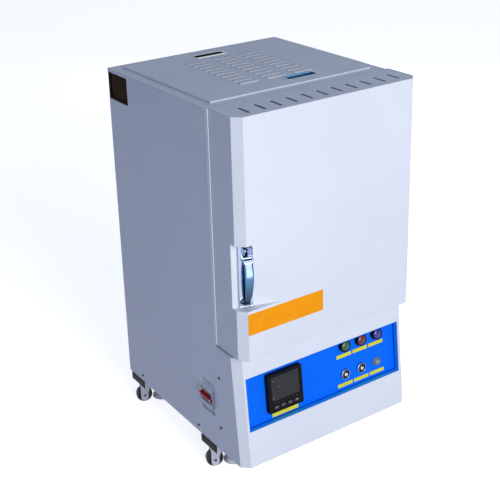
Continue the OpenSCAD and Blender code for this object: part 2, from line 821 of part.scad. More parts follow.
module door_back() {
    color(steel) difference() {
        box([-hd + sheet, dr - sheet, dz0 + sheet], [hw - sheet, dr, dz1 - sheet]);
        box([latch_x - latch_w / 2 - seat, dr - sheet - 1, latch_z - latch_w / 2 - seat],
            [latch_x + latch_w / 2 + seat, dr + 1, latch_z + latch_w / 2 + seat]);
    }
}

module door_plug() {
    z = (cz0 + cz1) / 2;
    color(fibre) box([-plug_w / 2, dr, z - plug_h / 2], [plug_w / 2, yf + sheet + plug_in, z + plug_h / 2]);
}

module door_seal() {
    z = (cz0 + cz1) / 2;
    a = 8;
    b = 22;
    color("#d9d4c8") difference() {
        box([-chamber_w / 2 - b, dr, z - chamber_h / 2 - b], [chamber_w / 2 + b, yf - seat, z + chamber_h / 2 + b]);
        box([-chamber_w / 2 - a, dr - 1, z - chamber_h / 2 - a], [chamber_w / 2 + a, yf, z + chamber_h / 2 + a]);
    }
}

// Bowed grip in the pocket frame: an arc band that stands on the plate
module grip() {
    lo = 14;
    hi = handle_h - 34;
    span = (hi - lo) / 2;
    bow = grip_reach + grip_t - 8;
    r = (span * span + bow * bow) / (2 * bow);
    translate([hx + 2, -handle_t - 8, hz0 + (lo + hi) / 2]) rotate([90, 0, 90]) linear_extrude(handle_w - 4)
        intersection() {
            difference() {
                translate([r - bow, 0]) circle(r, $fn = 180);
                translate([r - bow, 0]) circle(r - grip_t, $fn = 180);
            }
            translate([-bow - 1, -span - 6]) square([bow + 9, 2 * span + 12]);
        }
}

module handle() {
    color("#c9d2dc") on_pocket() difference() {
        union() {
            box([hx, -handle_t, hz0], [hx + handle_w, 0, hz0 + handle_h]);
            grip();
            translate([hx + handle_w / 2, 0, hz0 + 12]) rod_y(7, -handle_t - 11, -handle_t + 1);
            box([hx + 2, -handle_t - 11, hz0 + handle_h - 40], [hx + handle_w - 2, -handle_t + 1, hz0 + handle_h - 32]);
            for (x = [hx, hx + handle_w - 2.5])
                box([x, -handle_t - 9, hz0 + handle_h - 20], [x + 2.5, -handle_t + 1, hz0 + handle_h - 8]);
        }
    }
    color("#c9d2dc") on_pocket() translate([hx + 1, -handle_t - 5, hz0 + handle_h - 14])
        rotate([0, 90, 0]) cylinder(r = 2, h = handle_w - 2);
}

module thumb_lever() {
    w = handle_w - 5 - 1;
    color("#dfe5ec") on_pocket() translate([hx + 3, -handle_t - 5, hz0 + handle_h - 14]) difference() {
        union() {
            rotate([0, 90, 0]) cylinder(r = 4, h = w);
            box([2, -14, -3], [w - 2, 0, 3]);
            box([1, -15.5, -9], [w - 1, -9, 9]);
        }
        translate([-5, 0, 0]) rotate([0, 90, 0]) cylinder(r = 2 + fit, h = w + 10);
    }
}

module latch_bolt() {
    w = latch_w / 2;
    color(steel) difference() {
        box([latch_x - w, dr - 26, latch_z - w], [latch_x + w, yf + sheet + 2, latch_z + w]);
        translate([latch_x - w - 1, yf + sheet + 2, latch_z - w]) rotate([45, 0, 0]) cube([2 * w + 2, 8, 8], center = false);
    }
}

// Louvre hood that is open to the back, on the lid
module louvre(x, y) {
    translate([x - louvre_len / 2, y, lid_z + lid_t]) rotate([90, 0, 90]) linear_extrude(louvre_len)
        polygon([[-7, 0], [0, 3.6], [1, 3.8], [1, 2.8], [0, 2.6], [-4.8, 0]]);
}

module lid() {
    mid = (lid_y0 + lid_y1) / 2;
    color(paint) difference() {
        union() {
            box([-lid_x, lid_y0, lid_z], [lid_x, lid_y1, lid_z + lid_t]);
            difference() {
                box([-lid_x + lid_lip + 0.6, lid_y0 + lid_lip + 0.6, zt - 10], [lid_x - lid_lip - 0.6, lid_y1 - lid_lip - 0.6, lid_z + 1]);
                box([-lid_x + lid_lip + 0.6 + lip_t, lid_y0 + lid_lip + 0.6 + lip_t, zt - 11],
                    [lid_x - lid_lip - 0.6 - lip_t, lid_y1 - lid_lip - 0.6 - lip_t, lid_z]);
            }
            for (c = [-1 : 1], i = [0 : louvre_rows - 1])
                louvre(2 + c * louvre_col, louvre_y(i));
            for (c = [-1 : 1], i = [0 : louvre_rows - 1]) for (s = [-1, 1])
                translate([2 + c * louvre_col + s * (louvre_len / 2 - 0.5) - 0.5, louvre_y(i), lid_z + lid_t])
                    rotate([90, 0, 90]) linear_extrude(1) polygon([[0, 0], [-7, 0], [0, 3.6]]);
        }
        for (c = [-1 : 1], i = [0 : louvre_rows - 1])
            box([2 + c * louvre_col - louvre_len / 2 + 1, louvre_y(i) - 4.6, lid_z - 0.5],
                [2 + c * louvre_col + louvre_len / 2 - 1, louvre_y(i) - 0.4, lid_z + lid_t + 0.1]);
        for (p = pull_at) translate([p[0], p[1], lid_z - 1]) linear_extrude(lid_t + 2)
            round_rect(pull_l - 5, pull_w - 5, 4.2);
    }
}

// Share of its usual depth that the lid has, which spaces the louvres and the pulls
lid_share = (lid_y1 - lid_y0) / 386;
function louvre_y(i) = yc + (-12 + (i - (louvre_rows - 1) / 2) * louvre_pitch) * lid_share;
pull_at = [[-3, lid_y1 - 49 * lid_share], [50, lid_y0 + 45.5 * lid_share]];

// Pressed cup with a flat flange
module lid_pull() {
    l = pull_l - 5.6;
    w = pull_w - 5.6;
    color("#c9d2dc") difference() {
        union() {
            translate([0, 0, lid_z + lid_t]) linear_extrude(1.2) round_rect(pull_l, pull_w, 6);
            translate([0, 0, lid_z + lid_t - pull_depth]) linear_extrude(pull_depth) round_rect(l, w, 4);
        }
        translate([0, 0, lid_z + lid_t - pull_depth + 1.2]) linear_extrude(pull_depth + 2)
            round_rect(l - 2.4, w - 2.4, 2.8);
    }
}

module lid_pulls() {
    for (p = pull_at) translate([p[0], p[1], 0]) lid_pull();
}

side_panel_left();
side_panel_right();
back_panel();
base_pan();
top_rim();
front_frame();
console_front();
control_tray();
divider_shelf();
vent_grille();
insulation();
muffle();
heating_elements();
hearth_plate();
thermocouple();
exhaust_pipe();
base_channels();
caster_plates();
controller();
lamp(0, "#127a4a");  // lamp_left
lamp(1, "#a3122f");  // lamp_middle
lamp(2, "#1c2aa0");  // lamp_right
button_collars();
buzzer();
breaker_body();
breaker_rail();
hinge_leaf_body();
door_shell();
door_back();
door_plug();
door_seal();
hinge_leaf_door();
handle();
thumb_lever();
latch_bolt();
lid();
lid_pulls();
button(0);  // button_left
button(1);  // button_middle
key(0);  // key_1
key(1);  // key_2
key(2);  // key_3
key(3);  // key_4
breaker_toggle();
fork(0, -1);  // fork_fl
wheel(0, -1);  // wheel_fl
dial(0, -1);  // dial_fl
foot(0, -1);  // foot_fl
fork(0, 1);  // fork_fr
wheel(0, 1);  // wheel_fr
dial(0, 1);  // dial_fr
foot(0, 1);  // foot_fr
fork(1, -1);  // fork_rl
wheel(1, -1);  // wheel_rl
dial(1, -1);  // dial_rl
foot(1, -1);  // foot_rl
fork(1, 1);  // fork_rr
wheel(1, 1);  // wheel_rr
dial(1, 1);  // dial_rr
foot(1, 1);  // foot_rr
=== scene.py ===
# %% [markdown]
# # A muffle furnace on levelling casters
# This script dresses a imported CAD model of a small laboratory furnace. The CAD nodes already
# have their shapes and places, so most of the work here is light, camera and finishes, and the
# small pieces that are too fine for the solids: screws, blank label plates, marks on the display.
# A few turned and cast pieces stand for plainer solids. Everything is in metres, with X to the
# right, Y to the back and Z up.

# %% Load the frame
import math

import bmesh
import bpy
from mathutils import Matrix, Vector


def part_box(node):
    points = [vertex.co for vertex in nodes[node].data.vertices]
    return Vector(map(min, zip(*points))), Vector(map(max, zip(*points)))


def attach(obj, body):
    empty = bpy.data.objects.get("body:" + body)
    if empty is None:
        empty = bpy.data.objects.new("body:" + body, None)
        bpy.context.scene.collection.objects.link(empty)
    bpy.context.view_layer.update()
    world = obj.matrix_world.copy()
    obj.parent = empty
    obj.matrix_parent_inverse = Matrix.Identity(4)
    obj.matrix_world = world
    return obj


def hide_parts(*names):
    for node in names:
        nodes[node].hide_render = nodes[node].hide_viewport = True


MM = 0.001
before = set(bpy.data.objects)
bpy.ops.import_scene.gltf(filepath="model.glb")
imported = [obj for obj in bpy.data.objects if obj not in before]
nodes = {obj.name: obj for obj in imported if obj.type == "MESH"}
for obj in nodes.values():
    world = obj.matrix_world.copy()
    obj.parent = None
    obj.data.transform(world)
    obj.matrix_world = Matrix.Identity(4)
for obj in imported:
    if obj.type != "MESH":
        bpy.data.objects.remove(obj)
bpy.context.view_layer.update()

# %% [markdown]
# Colours are written as the hex values that a paint card or a picture editor shows. Blender
# mixes light in linear numbers, so one function turns a hex value into linear red, green and blue.

# %% A helper for colours
def linear(code):
    """Linear RGBA from an sRGB hex value such as '#e3e8f1'."""
    parts = [int(code[i:i + 2], 16) / 255 for i in (1, 3, 5)]
    mixed = [p / 12.92 if p <= 0.04045 else ((p + 0.055) / 1.055) ** 2.4 for p in parts]
    return (*mixed, 1.0)


print("pale paint", [round(c, 3) for c in linear("#e3e8f1")])

# %% [markdown]
# The camera stands about two and a half metres away, to the left of the furnace and above it, and
# looks down: the top, the left side and the front all show. Its place, its turn and its lens came
# from fitting the straight edges of the cabinet and the console. The lens shift frames the
# furnace off the middle, as in the cropped picture.

# %% Camera
YAW, PITCH, ROLL = 0.5680, 0.3633, -0.0364
CAMERA_PLACE = (-1.2928, -1.8680, 1.5073)
FOCAL_PIXELS, PICTURE_PIXELS, SENSOR_MM = 1019.8, 500, 36.0
flat = math.cos(PITCH)
ahead = Vector((math.sin(YAW) * flat, math.cos(YAW) * flat, -math.sin(PITCH)))
flat_right = Vector((math.cos(YAW), -math.sin(YAW), 0.0))
flat_up = flat_right.cross(ahead)
right = flat_right * math.cos(ROLL) + flat_up * math.sin(ROLL)
up = flat_up * math.cos(ROLL) - flat_right * math.sin(ROLL)
camera_data = bpy.data.cameras.new("photo_camera")
camera_data.sensor_width = SENSOR_MM
camera_data.lens = FOCAL_PIXELS / PICTURE_PIXELS * SENSOR_MM
camera_data.shift_x, camera_data.shift_y = 0.0521, -0.1383
camera_data.clip_end = 60.0
camera = bpy.data.objects.new("photo_camera", camera_data)
turn = Matrix((right, up, -ahead)).transposed().to_4x4()
camera.matrix_world = Matrix.Translation(CAMERA_PLACE) @ turn
bpy.context.scene.collection.objects.link(camera)
bpy.context.scene.camera = camera
print("lens", round(camera_data.lens, 1), "mm")

# %% [markdown]
# Shaders are node trees. One function adds a node and fills its inputs, and the short functions
# after it stand for the nodes that come up most.

# %% Helpers for nodes
def add(tree, kind, settings=None, inputs=None):
    """Adds one node, sets its settings, and links or sets its inputs."""
    n = tree.nodes.new(kind)
    for key, value in (settings or {}).items():
        setattr(n, key, value)
    for key, value in (inputs or {}).items():
        if isinstance(value, bpy.types.NodeSocket):
            tree.links.new(value, n.inputs[key])
        else:
            n.inputs[key].default_value = value
    return n


def maths(tree, operation, *values):
    """The result of a Math node."""
    return add(tree, "ShaderNodeMath", {"operation": operation}, dict(enumerate(values))).outputs[0]


def mix_shaders(tree, factor, first, second):
    """A mix of the shaders of two nodes."""
    inputs = {0: factor, 1: first.outputs[0], 2: second.outputs[0]}
    return add(tree, "ShaderNodeMixShader", None, inputs)


def axis_of(tree, place, axis):
    """One coordinate of a vector."""
    return add(tree, "ShaderNodeSeparateXYZ", None, {"Vector": place}).outputs[axis]


def distance_along(tree, place, direction):
    """How far a place lies along a direction, in metres."""
    inputs = {0: place, 1: tuple(direction)}
    return add(tree, "ShaderNodeVectorMath", {"operation": "DOT_PRODUCT"}, inputs).outputs["Value"]


def map_range(tree, value, source=(0.0, 1.0), target=(0.0, 1.0), soft=False):
    """Maps one range of values to another and stops at both ends."""
    settings = {"interpolation_type": "SMOOTHSTEP"} if soft else None
    inputs = {"Value": value, "From Min": source[0], "From Max": source[1],
              "To Min": target[0], "To Max": target[1]}
    return add(tree, "ShaderNodeMapRange", settings, inputs).outputs["Result"]


def zone(tree, value, start, end):
    """Zero before start, one after end, and a soft step between."""
    return map_range(tree, value, (start, end), soft=True)


def blend_colours(tree, factor, first, second, blend="MIX"):
    """Mixes two colours, each a socket or a hex value."""
    mix = add(tree, "ShaderNodeMix", {"data_type": "RGBA", "blend_type": blend}, {0: factor})
    for index, colour in ((6, first), (7, second)):
        if isinstance(colour, str):
            mix.inputs[index].default_value = linear(colour)
        else:
            tree.links.new(colour, mix.inputs[index])
    return mix.outputs[2]


print("node helpers ready")

# %% [markdown]
# In the picture the front is bright and the side and the top lie in an even, slightly blue
# shade. So two large soft lamps stand before the front, one low and one high, and the world with a
# weak fill gives the rest. A lamp behind, kept below the height of the lid, lights the back for
# other views. The world is plain, and only what the camera or a mirror sees of it is white.

# %% Lamps
def area_lamp(name, place, target, size, watts, colour):
    """A soft lamp that looks at a target."""
    data = bpy.data.lights.new(name, "AREA")
    data.shape = "RECTANGLE"
    data.size, data.size_y = size
    data.energy = watts
    data.color = linear(colour)[:3]
    lamp = bpy.data.objects.new(name, data)
    lamp.location = place
    lamp.rotation_euler = (Vector(target) - Vector(place)).to_track_quat("-Z", "Y").to_euler()
    bpy.context.scene.collection.objects.link(lamp)


lamps = [
    ("front_softbox", (-0.45, -3.2, 0.85), (0.0, 0.0, 0.5), (2.2, 1.6), 60.0, "#fefcfa"),
    ("front_high_softbox", (-0.1, -2.9, 1.9), (0.0, 0.0, 0.5), (1.6, 1.2), 24.0, "#fefcfa"),
    ("side_fill", (-3.2, 0.7, 1.9), (0.0, 0.0, 0.6), (1.4, 1.4), 2.0, "#e9edff"),
    ("back_fill", (2.6, 2.6, 0.45), (0.0, 0.1, 0.45), (1.8, 0.8), 26.0, "#f4f6ff"),
]
for row in lamps:
    area_lamp(*row)
print("lamps", len(lamps))

# %% World
def background(tree, colour, strength):
    """A plain background in one colour."""
    return add(tree, "ShaderNodeBackground", None, {"Color": linear(colour), "Strength": strength})


world = bpy.data.worlds.new("studio")
bpy.context.scene.world = world
world.use_nodes = True
tree = world.node_tree
tree.nodes.clear()
rays = add(tree, "ShaderNodeLightPath").outputs
seen = maths(tree, "MAXIMUM", rays["Is Camera Ray"], rays["Is Transmission Ray"])
shade = background(tree, "#b6d0fc", 0.29)
white = background(tree, "#ffffff", 1.0)
mirror = background(tree, "#eceff5", 0.75)
reflected = mix_shaders(tree, rays["Is Glossy Ray"], shade, mirror)
whole = mix_shaders(tree, seen, reflected, white)
add(tree, "ShaderNodeOutputWorld", None, {"Surface": whole.outputs[0]})
bpy.context.scene.view_settings.view_transform = "Standard"
print("world nodes", len(tree.nodes))

# %% [markdown]
# The floor is a wide pale disc. A plain white diffuse floor would look grey in this light, so
# for camera rays alone a little emission lifts it to white, and the shadow of the furnace stays.

# %% Floor
FLOOR_RADIUS, FLOOR_GLOW = 9.0, 0.8
bpy.ops.mesh.primitive_circle_add(
    vertices=96, radius=FLOOR_RADIUS, fill_type="NGON", location=(0, 0, -0.4 * MM))
floor = bpy.context.object
floor.name = "studio_floor"
floor_paint = bpy.data.materials.new("studio_floor_paper")
floor_paint.use_nodes = True
tree = floor_paint.node_tree
tree.nodes.clear()
rays = add(tree, "ShaderNodeLightPath").outputs
direct = maths(tree, "MAXIMUM", rays["Is Camera Ray"], rays["Is Glossy Ray"])
direct = maths(tree, "MAXIMUM", direct, rays["Is Transmission Ray"])
paper = add(tree, "ShaderNodeBsdfDiffuse", None, {"Color": linear("#d9dbe2"), "Roughness": 1.0})
bounce = add(tree, "ShaderNodeBsdfDiffuse", None, {"Color": linear("#8d97b8"), "Roughness": 1.0})
glow = add(tree, "ShaderNodeEmission", None, {"Color": (1, 1, 1, 1), "Strength": FLOOR_GLOW})
lift = add(tree, "ShaderNodeAddShader", None, {0: paper.outputs[0], 1: glow.outputs[0]})
mix = mix_shaders(tree, direct, bounce, lift)
add(tree, "ShaderNodeOutputMaterial", None, {"Surface": mix.outputs[0]})
floor.data.materials.append(floor_paint)
print("floor radius", FLOOR_RADIUS, "m")

# %% [markdown]
# ## Finishes
# Each finish starts from a Principled shader with typical values for the real material. Fine
# texture comes from noise in Object coordinates, whose scale is one over a real size in metres.
# The Bevel node rounds the look of sharp sheet-metal edges without touching the CAD meshes.
# Dark and strongly coloured surfaces look washed out with a full reflection, so a table weakens it.

# %% Start of a finish
SHEEN = {
    "powder_coat_signal_blue": 0.12, "spark_eroded_black_abs": 0.08, "orange_vinyl_film": 0.15,
    "smoked_acrylic_window": 0.2, "moulded_red_abs": 0.25, "yellow_enamelled_label_plate": 0.25,
    "powder_coat_matt_brown": 0.2,
}


def finish(name, colour, rough, metal=0.0, **sockets):
    """A new material with its Principled shader, and the object coordinates for its textures."""
    material = bpy.data.materials.new(name)
    material.use_nodes = True
    tree = material.node_tree
    tree.nodes.clear()
    settings = {"Base Color": linear(colour), "Roughness": rough, "Metallic": metal,
                "Specular IOR Level": SHEEN.get(name, 0.5)}
    settings.update({key.replace("_", " "): value for key, value in sockets.items()})
    shader = add(tree, "ShaderNodeBsdfPrincipled", None, settings)
    add(tree, "ShaderNodeOutputMaterial", None, {"Surface": shader.outputs[0]})
    place = add(tree, "ShaderNodeTexCoord").outputs["Object"]
    return material, tree, shader, place


def drive(tree, shader, **sources):
    """Links sources to the sockets of a shader, by name."""
    for name, source in sources.items():
        tree.links.new(source, shader.inputs[name.replace("_", " ")])


def repaint(material, paint):
    """Passes the colour of a finish through a recipe that gives the new colour."""
    tree = material.node_tree
    shader = next(n for n in tree.nodes if n.type == "BSDF_PRINCIPLED")
    colour = shader.inputs["Base Color"]
    tree.links.new(paint(tree, colour.links[0].from_socket), colour)


print("finishes with a weak reflection", len(SHEEN))

# %% Textures of a finish
def surface_relief(tree, shader, height, depth, round_edges):
    """Bump from a height socket, over edges rounded by a radius in metres."""
    bevel = add(tree, "ShaderNodeBevel", {"samples": 6}, {"Radius": round_edges})
    inputs = {"Height": height, "Strength": 1.0, "Distance": depth, "Normal": bevel.outputs[0]}
    bump = add(tree, "ShaderNodeBump", None, inputs)
    drive(tree, shader, Normal=bump.outputs[0])


def noise(tree, place, scale, detail):
    """A noise value around one half."""
    inputs = {"Vector": place, "Scale": scale, "Detail": detail}
    return add(tree, "ShaderNodeTexNoise", None, inputs).outputs["Fac"]


def vary(tree, place, scale, low=0.0, high=1.0, detail=3.0):
    """A noise value between low and high, for roughness or as a height."""
    return map_range(tree, noise(tree, place, scale, detail), (0.3, 0.7), (low, high))


def colour_ramp(tree, value, stops):
    """Colours along a value, given as (position, hex value)."""
    ramp = add(tree, "ShaderNodeValToRGB", None, {"Fac": value})
    while len(ramp.color_ramp.elements) < len(stops):
        ramp.color_ramp.elements.new(0.5)
    for element, (position, colour) in zip(ramp.color_ramp.elements, stops):
        element.position = position
        element.color = linear(colour)
    return ramp.outputs["Color"]


def tint(tree, place, scale, light, dark, detail=3.0):
    """A colour that drifts between two hex values."""
    return colour_ramp(tree, noise(tree, place, scale, detail), [(0.35, dark), (0.65, light)])


print("textures ready")

# %% [markdown]
# Polyester powder coat is sprayed dry on the steel and baked, so it flows out to a satin skin
# with a faint orange peel. The peel has a wavelength of about 2 mm, and large panels also wave
# very slightly, which shows only in their reflections.

# %% Powder coat
PEEL, PANEL_WAVE, WAVE_TO_PEEL = 2 * MM, 220 * MM, 8.0


def powder_coat(name, light, dark, rough):
    """A sprayed and baked coat, over sheet-metal edges rounded by about a millimetre."""
    material, tree, shader, place = finish(name, light, rough, IOR=1.5)
    drive(tree, shader, Base_Color=tint(tree, place, 3.0, light, dark),
          Roughness=vary(tree, place, 60.0, rough - 0.03, rough + 0.04))
    peel = vary(tree, place, 1 / PEEL, detail=1.0)
    wave = vary(tree, place, 1 / PANEL_WAVE, detail=0.0)
    height = maths(tree, "MULTIPLY_ADD", wave, WAVE_TO_PEEL, peel)
    surface_relief(tree, shader, height, 0.02 * MM, 1.1 * MM)
    return material


pale_coat = powder_coat("powder_coat_pale_grey_white", "#e4e9f2", "#dfe4ee", 0.42)
blue_coat = powder_coat("powder_coat_signal_blue", "#0070fb", "#006cf4", 0.42)
# A whiter copy of the pale coat; on the panel's lip it is a painted highlight.
lip_coat = powder_coat("powder_coat_bright_edge", "#fbfcff", "#f4f6fb", 0.4)
brown_coat = powder_coat("powder_coat_matt_brown", "#2c1b0b", "#221407", 0.6)
cast_grey = powder_coat("silver_lacquered_zinc_casting", "#e2e4ef", "#d8dae8", 0.36)
print("powder coats", pale_coat.name, blue_coat.name, brown_coat.name)

# %% [markdown]
# Zinc-plated sheet is a bluish grey metal with a fine rolled grain along one direction. Stretching
# a noise along X draws that grain. Polished chrome is almost a mirror: its roughness stays low,
# and faint smears vary it.

# %% Metals
def rolled_steel(name, light, dark, rough, grain=(40.0, 1500.0, 1500.0)):
    """A metal whose fine grain has a scale of its own along each axis."""
    material, tree, shader, place = finish(name, light, rough, 1.0)
    stretch = add(tree, "ShaderNodeMapping", None, {"Vector": place, "Scale": grain}).outputs[0]
    drive(tree, shader, Base_Color=tint(tree, place, 25.0, light, dark),
          Roughness=vary(tree, stretch, 1.0, rough - 0.06, rough + 0.08))
    surface_relief(tree, shader, vary(tree, stretch, 1.0), 0.01 * MM, 0.4 * MM)
    return material


POLISHED, EVEN, FINE = (300.0, 300.0, 60.0), (600.0,) * 3, (900.0,) * 3
zinc = rolled_steel("zinc_plated_rolled_steel", "#b9bec6", "#a6abb4", 0.34)
chrome = rolled_steel("polished_chrome_plate", "#9fb0c4", "#93a4b9", 0.13, POLISHED)
mirror_chrome = rolled_steel("mirror_chrome_plate", "#f6f8fc", "#eef1f7", 0.09, POLISHED)
stainless = rolled_steel("turned_stainless_steel", "#c7ccd3", "#b3b8c0", 0.24, EVEN)
oxide = rolled_steel("oxidised_heating_alloy", "#6c6a69", "#4d4a49", 0.62)
black_zinc = rolled_steel("black_passivated_steel", "#2b2d33", "#222429", 0.32, FINE)
print("metals", zinc.name, chrome.name)

# %% [markdown]
# The plastics are moulded. Black bezels have a fine spark-eroded grain, pilot lenses are clear
# coloured acrylic over a dark housing, and the wheels are glass-filled nylon, which is duller. The
# window of the controller is smoked acrylic over an unlit display, nearly black and very smooth.

# %% Plastics and rubber
def moulded(name, light, dark, rough, grain=0.6, depth=0.01, **sockets):
    """A moulded plastic, with the size and the depth of its grain in millimetres."""
    material, tree, shader, place = finish(name, light, rough, IOR=1.5, **sockets)
    drive(tree, shader, Base_Color=tint(tree, place, 40.0, light, dark),
          Roughness=vary(tree, place, 300.0, rough - 0.04, rough + 0.05))
    height = vary(tree, place, 1 / (grain * MM), detail=1.0)
    surface_relief(tree, shader, height, depth * MM, 0.4 * MM)
    return material


black_abs = moulded("spark_eroded_black_abs", "#0e0f13", "#090a0d", 0.36)
grey_key = moulded("moulded_grey_silicone_key", "#1b1d24", "#16181e", 0.5)
grey_cap = moulded("moulded_grey_polycarbonate", "#8f9095", "#828389", 0.38)
breaker_shell = moulded("moulded_light_grey_thermoset", "#dfe4ee", "#d6dbe6", 0.45)
red_abs = moulded("moulded_red_abs", "#c2181c", "#a81216", 0.3)
nylon = moulded("glass_filled_black_nylon", "#17181b", "#0f1012", 0.5, 0.4, 0.02)
green_lens = moulded("clear_green_acrylic", "#08602c", "#054421", 0.14, Coat_Weight=0.3)
red_lens = moulded("clear_red_acrylic", "#7c0a2a", "#520820", 0.14, Coat_Weight=0.3)
blue_lens = moulded("clear_blue_acrylic", "#1c2292", "#14186a", 0.14, Coat_Weight=0.3)
blue_film = moulded("blue_protective_film", "#74c6f4", "#69bdee", 0.3, 4, 0.03)
yellow_plate = moulded("yellow_enamelled_label_plate", "#e6e038", "#dcd52c", 0.42)
orange_vinyl = moulded("orange_vinyl_film", "#fda208", "#f99c05", 0.38, 0.8, 0.004)
smoked = moulded("smoked_acrylic_window", "#0b0b0d", "#08080a", 0.07, 10, 0.002, Coat_Weight=0.4)
print_ink = moulded("pale_screen_print_ink", "#9aa3ae", "#8e97a3", 0.55)
unlit = moulded("unlit_indicator_lens", "#4a5560", "#3d4853", 0.25)
window_tint = moulded("tinted_polycarbonate_window", "#2f8f86", "#287f78", 0.2)
shade_grey = moulded("grey_painted_shade_sheet", "#7e889d", "#778196", 0.5)
print("plastics ready")

# %% [markdown]
# Ceramic fibre board is white and soft, with fibres that catch dust. The fired muffle is denser,
# a little yellower and speckled, and the silicon carbide hearth plate is dark grey with a fine
# grit.

# %% Ceramics
def ceramic(name, light, dark, rough, grit, depth):
    """A matt ceramic, with the size and the depth of its grit in millimetres."""
    material, tree, shader, place = finish(name, light, rough, IOR=1.45)
    blotches = tint(tree, place, 1 / (12 * grit * MM), light, dark, 6.0)
    drive(tree, shader, Base_Color=blotches)
    height = vary(tree, place, 1 / (grit * MM), detail=5.0)
    surface_relief(tree, shader, height, depth * MM, 1 * MM)
    return material


fibre_board = ceramic("vacuum_formed_fibre_board", "#f1ede2", "#e4dece", 0.95, 2.5, 0.4)
fired_muffle = ceramic("fired_alumina_muffle", "#efe6d2", "#dccfb4", 0.85, 1.5, 0.2)
carbide = ceramic("silicon_carbide_hearth", "#5b5653", "#464240", 0.7, 1.0, 0.2)
print("ceramics ready")

# %% [markdown]
# The handle is one die casting, but its parts do not look alike: the back plate is bright, and the
# bowed grip has a bluer chrome with painted reflections: painted shade that darkens downwards and
# a painted bright band high up. One material tells them apart by the distance from the slanted
# floor of the pocket, and the height picks a colour from a ramp.

# %% Chrome of the handle
POCKET_FACING = (-0.3069, -0.9518, 0.0)
PLATE_FACE, GRIP_START = 0.3058, 0.3088
GRIP_FOOT_Z, GRIP_HEAD_Z = 0.490, 0.630
# Painted reflections on the grip: dark painted shade low down, and a painted highlight band from
# 0.70 to 0.76.
GRIP_PAINTED_REFLECTIONS = [
    (0.0, "#3f5068"), (0.15, "#46566e"), (0.36, "#55819c"), (0.5, "#5f7ba3"), (0.66, "#58648f"),
    (0.70, "#c9d2ec"), (0.76, "#c9d2ec"), (0.80, "#8694bb"), (1.0, "#9aa9cc"),
]


def handle_plating():
    """Chrome that knows the plate from the grip, with painted reflections and shade on the grip."""
    material, tree, shader, place = finish("chrome_with_painted_reflections", "#b6c6de", 0.12, 1.0)
    out = distance_along(tree, place, POCKET_FACING)
    stands_out = zone(tree, out, PLATE_FACE, GRIP_START)
    height = map_range(tree, axis_of(tree, place, "Z"), (GRIP_FOOT_Z, GRIP_HEAD_Z))
    # The ramp paints reflections and shade on the grip by height.
    grip = colour_ramp(tree, height, GRIP_PAINTED_REFLECTIONS)
    drive(tree, shader, Base_Color=blend_colours(tree, stands_out, "#b9c9df", grip),
          Roughness=vary(tree, place, 120.0, 0.09, 0.17))
    surface_relief(tree, shader, vary(tree, place, 1 / (9 * MM), detail=1.0), 0.02 * MM, 0.6 * MM)
    return material


handle_chrome = handle_plating()
print("handle finish", handle_chrome.name)

# %% [markdown]
# A flush pull is a pressed cup. Its flange is bright; inside the rear cup a near-black colour is
# painted shade, and a blue film is left in the front one. A levelling foot is a lacquered dome on a
# thin pad of black rubber. Both change at a known height, so a height step in Object coordinates
# draws the border.

# %% Finishes with a border
PAD_TOP, FLANGE_FOOT, BORDER = 8.2 * MM, 909.8 * MM, 0.3 * MM


def stepped(name, low, high, border, roughs, metals):
    """A finish that changes at a height; its low colour may be a recipe."""
    material, tree, shader, place = finish(name, high, roughs[1], metals[1])
    above = zone(tree, axis_of(tree, place, "Z"), border - BORDER, border + BORDER)
    below_colour = low(tree, place) if callable(low) else low
    base = blend_colours(tree, above, below_colour, high)
    grain = tint(tree, place, 60.0, "#ffffff", "#e9e9e9")
    drive(tree, shader, Base_Color=blend_colours(tree, 1.0, base, grain, "MULTIPLY"),
          Roughness=map_range(tree, above, target=roughs),
          Metallic=map_range(tree, above, target=metals))
    surface_relief(tree, shader, vary(tree, place, 1 / (2 * MM), detail=1.0), 0.02 * MM, 0.6 * MM)
    return material


def rear_cup_shade_front_film(tree, place):
    """Painted shade inside the rear pull's cup, blue film in the front one."""
    behind = zone(tree, axis_of(tree, place, "Y"), 0.0, 20 * MM)
    return blend_colours(tree, behind, "#4f86b8", "#12141b")


foot_dome = stepped(
    "lacquered_dome_on_rubber_pad", "#1b1b1d", "#eceefa", PAD_TOP, (0.75, 0.36), (0.0, 0.0))
pull_steel = stepped(
    "chromed_flange_with_painted_cup_shade", rear_cup_shade_front_film, "#c3cfe0", FLANGE_FOOT, (0.3, 0.14), (0.3, 1.0))
print("stepped finishes", foot_dome.name, pull_steel.name)

# %% [markdown]
# The louvres are pressed out of the lid. A white line along the foot of each hood is a painted
# highlight, and the upper half of each hood is painted greyer as shade, against the light its slope
# catches. The height above the lid's plate tells these zones.

# %% The coat of the lid
HOOD_HEIGHT = 3.8 * MM
plate_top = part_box("lid")[1].z - HOOD_HEIGHT


def hood_painted_light(tree, plain):
    """A painted white highlight at the foot of a hood and painted grey shade on its upper half."""
    height = axis_of(tree, add(tree, "ShaderNodeTexCoord").outputs["Object"], "Z")
    foot = zone(tree, height, plate_top + 0.1 * MM, plate_top + 0.4 * MM)
    upper = zone(tree, height, plate_top + 1.4 * MM, plate_top + 1.9 * MM)
    return blend_colours(tree, upper, blend_colours(tree, foot, plain, "#ffffff"), "#bfc4cf")


lid_coat = powder_coat("powder_coat_with_painted_louvre_light", "#e4e9f2", "#dfe4ee", 0.42)
repaint(lid_coat, hood_painted_light)
print("lid plate at z", round(plate_top, 4))

# %% [markdown]
# Every CAD node gets one finish, and the four casters share theirs.

# %% Give every CAD node its finish
CORNERS = ("fl", "fr", "rl", "rr")


def at_corners(stem):
    """The names of a caster's node at all four corners."""
    return [f"{stem}_{corner}" for corner in CORNERS]


